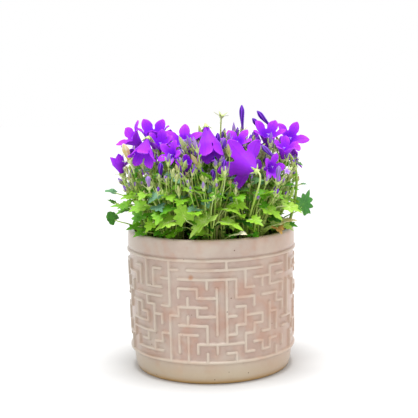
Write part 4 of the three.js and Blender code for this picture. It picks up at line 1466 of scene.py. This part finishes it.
@dataclass
class LeafForm:
    """The shape that all leaves share: a toothed heart, folded on its rib and drooping."""

    thickness: float = 0.4
    fold: float = 0.16
    droop: float = 0.24
    middle: float = 0.3  # how far along the blade its rings of points have their middle
    # Half of a blade of length 1, from its tip to its joint: first a tooth, then the gap behind it.
    edge: Profile = (
        (1.0, 0.0), (0.7, 0.14), (0.7, 0.32), (0.5, 0.25), (0.42, 0.5),
        (0.26, 0.37), (0.09, 0.55), (0.0, 0.38), (-0.14, 0.3), (0.04, 0.0),
    )
    round_edge: Profile = (
        (1.0, 0.0), (0.9, 0.2), (0.87, 0.29), (0.68, 0.38), (0.62, 0.46),
        (0.4, 0.48), (0.3, 0.52), (0.07, 0.46), (-0.08, 0.36), (0.04, 0.0),
    )
    bulge: float = 0.025  # how far an edge is rounded between its corners
    shares: Numbers = (0.34, 0.64, 0.86)  # rings of points between the middle and edge
    groove: float = 0.02  # how deep a rib lies
    under: float = 0.1  # how much paler the under face is
    stalk_radius: float = 0.7
    stalk_tip: float = 0.4
    stalk_points: int = 9
    lean: float = 0.2  # how soon the stalk leans to its blade
    arrival: float = 0.35  # how far behind the joint it turns into the blade
    stalk_end: float = 0.15  # how far it runs on under the blade

    def outline(self, edge: Profile) -> tuple[Array, Array]:
        """Draw an outline from its half, from the tip all the way round.

        Args:
            edge: The corners of the half.

        Returns:
            The points, and a number for each that is 1 where it ends a rib.
        """
        half: list[Array] = []
        ribs: list[float] = []
        for index, (here, there) in enumerate(pairwise(edge)):
            start, ahead = np.array(here), np.array(there) - np.array(here)
            outward = np.array([-ahead[1], ahead[0]]) / np.linalg.norm(ahead)
            outward = outward if outward[0] + 2 * outward[1] > -0.5 else -outward
            half += [start, start + ahead / 2 + outward * self.bulge]
            ribs += [float(index % 2 == 0), 0.0]
        half.append(np.array(edge[-1]))
        ribs.append(1.0)
        other_half = [point * (1, -1) for point in half[-2:0:-1]]
        return np.array(half + other_half), np.array(ribs + ribs[-2:0:-1])

    def add_blade(self, draft: Draft, pose: LeafPose, draw: Draw) -> None:
        """Add a leaf's blade.

        Args:
            draft: The mesh to add it to.
            pose: Where it is and how it looks.
            draw: Gives its small differences.
        """
        side = unit(np.cross(pose.upward, pose.tipward))
        normal = unit(np.cross(pose.tipward, side))
        outline, ribs = self.outline(self.round_edge if pose.rounded else self.edge)
        count = len(outline)
        centre = np.array([self.middle, 0.0])
        wave, phase = draw.within(0.015, 0.05), draw.within(0.0, TURN)
        curl = draw.within(0.7, 1.4)
        ripple = wave * np.sin(4 * turns(count) + phase)

        def ring(share: float, height: float) -> Array:
            """Draw the outline in, and bend it as the blade is bent.

            Args:
                share: The share of its size that it keeps.
                height: How far over the blade it lies.

            Returns:
                Its points.
            """
            forward, aside = (centre + share * (outline - centre)).T
            rise = self.fold * curl * np.abs(aside) - self.droop * forward * np.abs(forward)
            rise = rise + ripple * share**2 - 4 * self.groove * share * (1 - share) * ribs
            flat = pose.length * (forward[:, None] * pose.tipward + aside[:, None] * side)
            return pose.joint + flat + (rise * pose.length + height)[:, None] * normal

        shares = np.array([0.0, *self.shares, 1.0, *self.shares[::-1], 0.0])
        heights = self.thickness / 2 * (1 - shares**2)
        half = len(shares) // 2
        heights[half:] *= -1
        rings = [ring(share, height) for share, height in zip(shares, heights, strict=True)]
        points = np.concatenate([rings[0][:1], *rings[1:-1], rings[-1][:1]])
        rows, last = len(rings) - 2, len(points) - 1
        here = np.arange(count)
        beside = (here + 1) % count
        fan = np.stack([np.zeros(count, int), 1 + here, 1 + beside], 1)
        low = last - count
        low_fan = np.stack([np.full(count, last), low + beside, low + here], 1)
        quads = grid(rows, count, True)[:, ::-1] + 1
        reach = np.repeat(shares[1:-1], count)
        vein = np.concatenate([[1.0], np.tile(ribs, rows) * (1.0 - 0.35 * reach), [1.0]])
        tone = np.full(len(points), pose.tone)
        tone[1 + half * count :] += self.under
        rim = 1 + (half - 1) * count
        creases = [(rim + i, rim + (i + 1) % count) for i in range(count)]
        paint = (tone, np.concatenate([[0.0], reach, [0.0]]), vein, pose.bloom)
        finish = ClumpSkin.DRY if pose.withered else ClumpSkin.LEAF
        draft.add(points, [fan, quads, low_fan], finish, paint, creases)

    def add(self, draft: Draft, foot: Array, pose: LeafPose, draw: Draw) -> None:
        """Add a leaf on its stalk.

        Args:
            draft: The mesh to add it to.
            foot: Where its stalk leaves the crown.
            pose: Where it is and how it looks.
            draw: Gives its small differences.
        """
        into = pose.joint + pose.tipward * self.stalk_end * pose.length
        rising = foot + (pose.joint - foot) * self.lean
        rising[2] = pose.joint[2] - 2
        arriving = pose.joint - pose.tipward * self.arrival * pose.length
        path = bezier(foot, rising, arriving, into, self.stalk_points)
        reach = np.linspace(0.0, 1.0, self.stalk_points)
        radii = self.stalk_radius + (self.stalk_tip - self.stalk_radius) * reach
        # the stalk follows its blade's tone, painted shade included
        tone = min(1.0, 0.45 + 0.5 * pose.tone)
        draft.tube(path, radii, 5, ClumpSkin.STEM, (tone, reach, 0.0, draw.within(0.0, 0.15)))
        self.add_blade(draft, pose, draw)


@dataclass
class CalyxForm:
    """A flower's green cup and its five narrow sepals."""

    hollow: float = 1.2  # from the flower's root back to the cup's seat
    depth: float = 1.5  # of the cup behind its seat
    cup: Profile = ((0.75, -0.4), (1.15, 0.1), (1.7, 0.8), (2.05, 1.6), (1.95, 2.3), (1.5, 2.6))
    spread: float = 4.8
    sepal: float = 1.2  # how far the sepals' tips stand in front of the flower's root
    sepal_widths: Numbers = (0.55, 0.75, 0.8, 0.7, 0.5, 0.3, 0.06)
    sepal_thick: float = 0.3

    def add(self, draft: Draft, root: Array, facing: Array, spread: float, draw: Draw) -> None:
        """Add a calyx.

        Args:
            draft: The mesh to add it to.
            root: The flower's root.
            facing: The way that the flower looks.
            spread: How far the sepals reach.
            draw: Gives its small differences.
        """
        foot = root - facing * (self.hollow + self.depth)
        tone = draw.within(0.55, 0.8)
        paint = (tone, 1.0, 0.0, 0.0)
        draft.turned(foot, facing, self.cup, 15, ClumpSkin.STEM, paint, (FLOWER_PARTS, 0.1))
        widths = np.array(self.sepal_widths)
        for outward in around(facing, turns(FLOWER_PARTS, 0.5)):
            start = root - facing * 0.9 + outward * 1.5
            length = spread * draw.within(0.9, 1.15)
            tip = root + facing * (self.sepal + draw.within(-0.8, 0.8)) + outward * length
            arriving = tip - facing * 0.5 - outward
            path = bezier(start, start + outward * 1.6, arriving, tip, len(widths))
            paint = (tone, 1.0, 0.0, draw.within(0.0, 0.2))
            draft.sliver(path, facing, widths, self.sepal_thick, ClumpSkin.STEM, paint)


@dataclass
class Budlet:
    """A small unopened bud on a thin stalk with narrow leaves, in its upright sepals."""

    sizes: Span = (0.75, 1.25)
    lengths: Span = (2.5, 5.5)
    violet: float = 0.5  # the share of them that already shows violet
    stalk: float = 0.5
    tip: float = 0.32
    points: int = 11  # of the stalk
    leafy: tuple[int, ...] = (5, 7, 9)  # the stalk's points that bear a narrow leaf
    cup: Profile = ((0.45, -0.5), (0.8, 0.3), (1.1, 1.2), (1.2, 1.9), (0.9, 2.3))
    heart: Profile = ((0.8, 1.8), (1.0, 2.6), (1.05, 3.4), (0.75, 4.3), (0.3, 5.0), (0.05, 5.3))
    leaf_widths: Numbers = (0.3, 0.8, 1.0, 0.7, 0.06)
    sepal_widths: Numbers = (0.45, 0.5, 0.35, 0.05)

    def add(self, draft: Draft, foot: Array, top: Array, facing: Array, draw: Draw) -> None:
        """Add a small bud and its stalk.

        Args:
            draft: The mesh to add it to.
            foot: Where its stalk leaves the crown.
            top: Where the bud sits.
            facing: The way that it points.
            draw: Gives its size and colour.
        """
        green = ClumpSkin.STEM
        size = draw.within(*self.sizes)
        flush = draw.within(0.0, 1.0) ** 1.5 * 0.8
        height = float(np.linalg.norm(top - foot))
        path = bezier(foot, foot + UP * 0.45 * height, top - facing * 0.2 * height, top, self.points)
        reach = np.linspace(0.0, 1.0, self.points)
        tone = draw.within(0.35, 0.85)
        radii = self.stalk + (self.tip - self.stalk) * reach
        draft.tube(path, radii, 5, green, (tone, reach, 0.0, flush * 0.6))
        paint = (tone, 1.0, 0.0, flush * 0.4)
        cup = np.array(self.cup) * size
        draft.turned(top, facing, cup, 10, green, paint, (FLOWER_PARTS, 0.1))
        length = draw.within(*self.lengths)
        start, end = self.heart[0][1], self.heart[-1][1]
        stretch = length / (end - start)
        heart = ((np.array(self.heart) - (0, start)) * (1, stretch) + (0, start)) * size
        is_violet = draw() < self.violet
        faded = 0.9 * draw()
        finish, paint = green, (tone, 1.0, 0.0, flush)
        if is_violet:
            finish, paint = ClumpSkin.FURLED, (0.0, 0.8, 0.6, faded)
        draft.turned(top, facing, heart, 10, finish, paint, (FLOWER_PARTS, 0.12))
        for node in path[list(self.leafy)]:
            outward = toward(draw.within(0.0, 360.0), draw.within(15.0, 60.0))
            end = node + outward * draw.within(2.5, 6.0)
            blade = bezier(node, node + outward + UP, end - outward, end, len(self.leaf_widths))
            widths = np.array(self.leaf_widths) * draw.within(0.7, 1.2)
            paint = (draw.within(0.4, 0.9), 0.5, 0.0, 0.0)
            draft.sliver(blade, UP, widths, 0.3, ClumpSkin.LEAF, paint)
        widths = np.array(self.sepal_widths) * size
        for outward in around(facing, turns(FLOWER_PARTS)):
            start = top + (facing * 1.7 + outward) * size
            tip = start + (facing * draw.within(2.6, 3.8) + outward * draw.within(0.4, 1.6)) * size
            sepal = bezier(start, start + outward * 0.5, tip - facing, tip, len(widths))
            draft.sliver(sepal, outward, widths, 0.22, green, (tone, 1.0, 0.0, flush * 0.5))


@dataclass
class Room:
    """Keeps blades off one another and off the open bells."""

    spacing: float = 7.0
    bell_radius: float = 9.0
    bell_reach: float = 16.0
    taken: list[Array] = field(default_factory=list)

    def is_clear_of_bells(self, points: Array) -> bool:
        """Find out whether points lie clear of the bells.

        Args:
            points: The points, one a row.

        Returns:
            Whether all of them lie outside every open bell.
        """
        for bell in BELLS:
            from_root = points - bell.root
            ahead = np.clip(from_root @ bell.facing, 0.0, self.bell_reach * bell.size)
            off = np.linalg.norm(from_root - ahead[:, None] * bell.facing, axis=1)
            if np.any(off < self.bell_radius * bell.size):
                return False
        return True

    def take(self, pose: LeafPose) -> bool:
        """Take a leaf's place if it is free.

        Args:
            pose: The leaf's pose.

        Returns:
            Whether it was free.
        """
        middle = pose.middle
        if any(np.linalg.norm(middle - other) < self.spacing for other in self.taken):
            return False
        tip = pose.joint + pose.tipward * pose.length
        if not self.is_clear_of_bells(np.array([pose.joint, middle, tip])):
            return False
        self.taken.append(middle)
        return True


@dataclass(frozen=True)
class Tier:
    """A tier of a clump's smaller leaves: how many, and between which places, sizes and tones."""

    count: int
    distance: Span
    height: Span
    length: Span
    lift: Span
    tone: Span
    waxy: float  # the share of them that gets a painted bluish sheen


# The tiers that lie deeper inside the plant have darker tones: painted shade.
OUTER_TIERS = (
    Tier(7, (47, 57), (112, 124), (8, 12), (-25, 15), (0.3, 0.95), 0.0),
    Tier(15, (42, 64), (125, 145), (8, 13), (-20, 40), (0.3, 0.8), 0.1),
    Tier(11, (30, 60), (138, 158), (6, 10), (-10, 55), (0.1, 0.6), 0.35),
)
INNER_TIERS = (
    Tier(12, (8, 44), (110, 122), (10, 14), (-10, 40), (0.0, 0.15), 0.0),
    Tier(16, (6, 42), (122, 142), (10, 14), (-10, 50), (0.0, 0.4), 0.15),
    Tier(18, (4, 40), (140, 162), (8, 12), (0, 60), (0.05, 0.5), 0.35),
)


@dataclass(frozen=True)
class Sprinkle:
    """Small buds spread over a clump: their form, how many, and between which places."""

    form: Budlet
    count: int
    distance: Span
    height: Span


CREST = Budlet(sizes=(1.1, 1.6), lengths=(4.5, 8.0), violet=0.75)
OUTER_BUDS = (
    Sprinkle(Budlet(), 28, (43, 69), (136, 167)),
    Sprinkle(CREST, 12, (24, 60), (158, 174)),
)
INNER_BUDS = (
    Sprinkle(Budlet(), 12, (6, 42), (145, 172)),
    Sprinkle(CREST, 14, (6, 44), (160, 178)),
)


@dataclass(frozen=True)
class Shoot:
    """A bare stem: its foot, the two points that it bends towards, its end and its thickness."""

    foot: Place
    rising: Place
    arriving: Place
    end: Place
    radius: float
    tone: float
    flush: float
    points: int = 16
    taper: float = 0.25

    @property
    def root(self) -> Array:
        """Where it begins."""
        return np.array(self.foot)

    def add(self, draft: Draft) -> None:
        """Add the stem.

        Args:
            draft: The mesh to add it to.
        """
        corners = np.array([self.foot, self.rising, self.arriving, self.end])
        share = np.linspace(0.0, 1.0, self.points)
        radii = self.radius * (1.0 - self.taper * share)
        paint = (self.tone, share, 0.0, self.flush)
        draft.tube(bezier(*corners, self.points), radii, 8, ClumpSkin.STEM, paint)


SHOOTS = (
    Shoot((56, -10, 100), (70, -15, 135), (69.5, -15, 162), (59, -16, 169), 1.2, 0.55, 0.05),
    Shoot((59, -16, 168.5), (57.5, -17, 172), (54, -19, 177), (51.6, -20, 181), 0.5, 0.8, 0.8),
)


@dataclass
class Clump:
    """One crown with all that it grows: stems, calyces, leaves on stalks, and small buds."""

    number: int
    crown: Crown
    flowers: list[Growth]
    starlets: list[Growth]
    buds: list[Growth]
    shoots: list[Shoot]
    large: list[LargeLeaf]
    materials: list[bpy.types.Material]
    ground: float
    room: Room
    leaf: LeafForm = field(default_factory=LeafForm)
    calyx: CalyxForm = field(default_factory=CalyxForm)
    knob: Profile = ((3.6, 0.0), (3.8, 2.0), (3.4, 4.0), (2.7, 5.5), (1.4, 6.2))
    knob_depth: float = 3.0
    depth: float = 2.0  # of a stem's foot in the compost
    spread: float = 13.0  # of the stems' feet round the crown
    scatter: float = 3.0
    edge: float = 56.0  # of the ground that the stems' feet keep to
    stem_radius: float = 0.9
    stem_tip: float = 0.65
    stem_points: int = 16
    leafy: tuple[int, ...] = (6, 9, 11)  # the stem's points that may bear a narrow leaf
    leafless: float = 0.35  # the share of those points that bears none
    leaf_widths: Numbers = (0.35, 0.9, 1.35, 1.4, 1.1, 0.6, 0.08)
    upright: float = 0.45  # the share of its length over which a stem stands up
    arrival: float = 0.22  # and over which it turns into its flower
    nodding: float = -0.5  # how far down a flower faces that hangs from a stem behind it
    behind: float = 30.0  # how far behind such a flower its stem rises
    arch: float = 7.0
    tries: int = 8  # for each leaf or small bud, to find a free place
    bud_line: Span = (-20.0, 10.0)  # what of a small bud's line is kept off bells
    # Radius, and the distance along it as a share of its length.
    dried_bell: Profile = (
        (0.8, -0.1), (1.5, 0.15), (2.0, 0.4), (2.3, 0.6),
        (1.7, 0.78), (1.2, 0.92), (0.3, 1.0),
    )
    starlet_widths: Numbers = (0.4, 0.9, 1.1, 1.0, 0.7, 0.1)

    def foot(self, target: Array, draw: Draw) -> Array:
        """Choose where a stem stands: near the crown, on the side that faces what it carries.

        Args:
            target: What it carries.
            draw: Gives the place on that side.

        Returns:
            The stem's foot, in the compost.
        """
        middle = self.crown.place(self.ground - self.depth)
        aside = (target - middle) * (1, 1, 0)
        share = draw.within(0.15, 0.95) * min(1.0, self.spread / np.linalg.norm(aside))
        jitter = at(draw.within(0, 360), draw.within(0, self.scatter), 0.0)
        foot = middle + aside * share + jitter
        inward = min(1.0, self.edge / math.hypot(foot[0], foot[1]))
        return foot * (inward, inward, 1.0)

    def add_stem(self, draft: Draft, flower: Growth, draw: Draw) -> None:
        """Add a flower's stem, its calyx and some narrow leaves on the way up.

        Args:
            draft: The mesh to add them to.
            flower: The flower at the stem's end.
            draw: Gives their small differences.
        """
        root, facing = flower.root, flower.facing
        start = self.foot(root, draw)
        foot = root - facing * (self.calyx.hollow + self.calyx.depth)
        reach = float(np.linalg.norm(foot - start))
        rising = start + UP * reach * self.upright
        arriving = foot - facing * reach * self.arrival
        if facing[2] < self.nodding:
            rising = rising - unit(facing * (1, 1, 0)) * self.behind
            arriving = foot - facing * self.arch
        path = bezier(start, rising, arriving, foot, self.stem_points)
        share = np.linspace(0.0, 1.0, self.stem_points)
        radii = self.stem_radius + (self.stem_tip - self.stem_radius) * share
        tone = draw.within(0.45, 0.8)
        flush = draw.within(0.0, 1.0) ** 3 * 0.7
        draft.tube(path, radii, 8, ClumpSkin.STEM, (tone, share, 0.0, flush))
        is_over = isinstance(flower, Spent)
        self.calyx.add(draft, root, facing, flower.sepals if is_over else self.calyx.spread, draw)
        if is_over and flower.dried:
            bell = np.array(self.dried_bell) * (1, flower.dried)
            paint = (np.linspace(0.65, 1.0, len(bell)), 1.0, 0.0, 0.0)
            draft.turned(root, facing, bell, 20, ClumpSkin.DRY, paint, (FLOWER_PARTS, 0.3))
        for place in self.leafy:
            if draw() < self.leafless:
                continue
            node = path[place]
            ahead = unit(path[place + 1] - path[place - 1])
            outward = toward(draw.within(0.0, 360.0), draw.within(10.0, 50.0))
            tip = node + outward * draw.within(5.0, 9.0)
            widths = np.array(self.leaf_widths) * draw.within(0.7, 1.2)
            blade = bezier(node, node + outward * 2 + ahead, tip - outward, tip, len(widths))
            paint = (draw.within(0.4, 0.75), 0.5, 0.0, 0.0)
            draft.sliver(blade, ahead, widths, 0.35, ClumpSkin.LEAF, paint)

    def small_leaf(self, tier: Tier, draw: Draw) -> LeafPose:
        """Draw the pose of a smaller leaf in the crown's own sector.

        Args:
            tier: The tier that it is in.
            draw: Gives its place and its looks.

        Returns:
            The pose.
        """
        bearing = self.crown.bearing + draw.within(-1.1, 1.1) * self.crown.sector
        joint = at(bearing, draw.within(*tier.distance), draw.within(*tier.height))
        tipward = toward(bearing + draw.within(-75, 75), draw.within(*tier.lift))
        upward = toward(bearing, draw.within(45, 88))
        # some leaves get a painted bluish sheen
        bloom = draw.within(0.3, 0.8) if draw() < tier.waxy else 0.0
        length, tone = draw.within(*tier.length), draw.within(*tier.tone)
        return LeafPose(joint, tipward, upward, length, tone, bloom)

    def add_small_leaves(self, draft: Draft, draw: Draw) -> None:
        """Add the smaller leaves, each where there is room for it.

        Args:
            draft: The mesh to add them to.
            draw: Gives their places and looks.
        """
        for tier in OUTER_TIERS if self.crown.outer else INNER_TIERS:
            for _ in range(tier.count):
                poses = (self.small_leaf(tier, draw) for _ in range(self.tries))
                pose = next((pose for pose in poses if self.room.take(pose)), None)
                if pose is not None:
                    self.leaf.add(draft, self.foot(pose.joint, draw), pose, draw)

    def add_budlets(self, draft: Draft, draw: Draw) -> None:
        """Add the small buds on their thin stalks, clear of the open bells.

        Args:
            draft: The mesh to add them to.
            draw: Gives their places and looks.
        """
        for bud in self.buds:
            Budlet().add(draft, self.foot(bud.root, draw), bud.root, bud.facing, draw)
        line = np.linspace(*self.bud_line, 9)[:, None]
        for group in OUTER_BUDS if self.crown.outer else INNER_BUDS:
            left = group.count
            for _ in range(group.count * self.tries):
                bearing = self.crown.bearing + draw.within(-1.1, 1.1) * self.crown.sector
                place = at(bearing, draw.within(*group.distance), draw.within(*group.height))
                facing = toward(bearing + draw.within(-60, 60), draw.within(45, 88))
                if not self.room.is_clear_of_bells(place + line * facing):
                    continue
                group.form.add(draft, self.foot(place, draw), place, facing, draw)
                left -= 1
                if left == 0:
                    break

    def add_starlet(self, draft: Draft, flower: Growth, draw: Draw) -> None:
        """Add a very small lilac flower on its own thin stalk.

        Args:
            draft: The mesh to add it to.
            flower: The flower's place.
            draw: Gives its stalk's foot.
        """
        root, facing = flower.root, flower.facing
        start = self.foot(root, draw)
        path = bezier(start, start + UP * 14, root - facing * 5, root, 10)
        paint = (0.7, np.linspace(0.0, 1.0, 10), 0.0, 0.0)
        draft.tube(path, np.linspace(0.5, 0.35, 10), 6, ClumpSkin.STEM, paint)
        widths = np.array(self.starlet_widths)
        paint = (np.linspace(0.1, 0.9, len(widths)), 1.0, 0.0, 0.0)
        for outward in around(facing, turns(FLOWER_PARTS)):
            tip = root + outward * 2.8 + facing * 0.6
            rising = root + outward + facing * 0.3
            petal = bezier(root, rising, tip - outward, tip, len(widths))
            draft.sliver(petal, facing, widths, 0.3, ClumpSkin.PISTIL, paint)

    def build(self) -> None:
        """Build the clump as one mesh of many closed forms, from its knob up."""
        draft = Draft()
        draw = Draw(self.number)
        knob = self.crown.place(self.ground - self.knob_depth)
        paint = (0.2, 0.0, 0.0, 0.3)
        draft.turned(knob, UP, self.knob, 14, ClumpSkin.STEM, paint, (5, 0.12))
        for flower in self.flowers:
            self.add_stem(draft, flower, draw)
        for large in self.large:
            self.leaf.add(draft, self.foot(large.root, draw), large.pose(), draw)
        self.add_small_leaves(draft, draw)
        self.add_budlets(draft, draw)
        for starlet in self.starlets:
            self.add_starlet(draft, starlet, draw)
        for shoot in self.shoots:
            shoot.add(draft)
        node = f"clump_{self.number:02d}"
        draft.settle(f"green_{node}", self.materials, node, Slot.GREEN)


# ------------ plant


@dataclass
class Bellflower:
    """The whole plant: every flower, and the clump that carries it."""

    compost: Compost
    leaf_skin: LeafSkin = LeafSkin()
    stem_skin: StemSkin = StemSkin()
    petal_skin: PetalSkin = PetalSkin()
    furled_skin: FurledPetalSkin = FurledPetalSkin()
    pistil_skin: PistilSkin = PistilSkin()
    dry_skin: DryLeafSkin = DryLeafSkin()

    @staticmethod
    def crown_of(thing: Growth | Shoot) -> int:
        """Return the index of the crown that a thing is nearest to."""
        root = thing.root
        return int(np.argmin([np.linalg.norm(crown.place(root[2]) - root) for crown in CROWNS]))

    def build(self) -> None:
        """Build the flowers and the clumps."""
        petal, furled = self.petal_skin.material(), self.furled_skin.material()
        pistil, dry = self.pistil_skin.material(), self.dry_skin.material()
        green = [self.stem_skin.material(), self.leaf_skin.material(), furled, dry, pistil]
        for number, bell in enumerate(BELLS, 1):
            OpenBell(bell, number, [petal, pistil]).build()
        for number, bud in enumerate(BUDS, 1):
            FurledBell(bud, number, furled).build()
        leaves = (*LARGE_LEAVES, *RIM_LEAVES)
        room = Room(taken=[leaf.pose().middle for leaf in leaves])
        kinds = ((*BELLS, *BUDS, *SPENT), STARLETS, SIDE_BUDS, SHOOTS, leaves)
        for index, crown in enumerate(CROWNS):
            grown = [[thing for thing in kind if self.crown_of(thing) == index] for kind in kinds]
            ground = float(self.compost.ground(crown.distance))
            Clump(index + 1, crown, *grown, green, ground, room).build()


# ------------ studio


@dataclass
class Studio:
    """A pale floor, a bright even surround, a broad soft lamp far overhead and the camera."""

    floor_paint: MattPalePaint = MattPalePaint()
    floor_size: float = 6.0  # in metres
    surround: float = 1.0
    key_strength: float = 2.7
    key_spread: float = 24.0  # how many degrees wide the overhead lamp looks from the pot
    key_from: Place = (0.0, -0.05, 1.0)
    aim: Place = (-1.1, 0.0, 123.8)
    distance: float = 840.0
    elevation: float = 8.156
    roll: float = -1.084
    lens: float = 92.07
    sensor: float = 36.0

    def add_floor(self) -> None:
        """Add the floor, which isn't part of the plant."""
        half = self.floor_size / 2
        mesh = bpy.data.meshes.new("studio_floor")
        corners = [(-half, -half, 0), (half, -half, 0), (half, half, 0), (-half, half, 0)]
        mesh.from_pydata(corners, [], [(0, 1, 2, 3)])
        mesh.materials.append(self.floor_paint.material())
        floor = bpy.data.objects.new("studio_floor", mesh)
        bpy.context.scene.collection.objects.link(floor)

    def add_light(self) -> None:
        """Add the surround and the overhead lamp."""
        world = bpy.data.worlds.new("white_surround")
        world.use_nodes = True
        background = world.node_tree.nodes["Background"]
        background.inputs["Color"].default_value = (1.0, 1.0, 1.0, 1.0)
        background.inputs["Strength"].default_value = self.surround
        bpy.context.scene.world = world
        lamp = bpy.data.lights.new("soft_key", "SUN")
        lamp.energy = self.key_strength
        lamp.angle = math.radians(self.key_spread)
        key = bpy.data.objects.new("soft_key", lamp)
        key.location = self.key_from
        key.rotation_euler = (-Vector(self.key_from)).to_track_quat("-Z", "Y").to_euler()
        bpy.context.scene.collection.objects.link(key)

    def add_camera(self) -> None:
        """Add the camera at the eye's place, with its small roll."""
        slope, roll = math.radians(self.elevation), math.radians(self.roll)
        back = np.array([0.0, -math.cos(slope), math.sin(slope)])
        level = np.array([1.0, 0.0, 0.0])
        raised = np.cross(back, level)
        right = level * math.cos(roll) + raised * math.sin(roll)
        top = raised * math.cos(roll) - level * math.sin(roll)
        eye = (np.array(self.aim) + back * self.distance) * MM
        lens = bpy.data.cameras.new("studio_camera")
        lens.lens = self.lens
        lens.sensor_width = self.sensor
        camera = bpy.data.objects.new("studio_camera", lens)
        axes = np.eye(4)
        axes[:3] = np.stack([right, top, back, eye], 1)
        camera.matrix_world = Matrix(axes.tolist())
        bpy.context.scene.collection.objects.link(camera)
        bpy.context.scene.camera = camera

    def build(self) -> None:
        """Build the studio."""
        bpy.context.scene.view_settings.view_transform = "Standard"
        self.add_floor()
        self.add_light()
        self.add_camera()


def main() -> None:
    """Build every piece in order."""
    logging.basicConfig(level=logging.INFO, format="%(name)s: %(message)s")
    Studio().build()
    FretPot().build()
    compost = Compost()
    compost.build()
    Bellflower(compost).build()


if __name__ == "__main__":
    main()
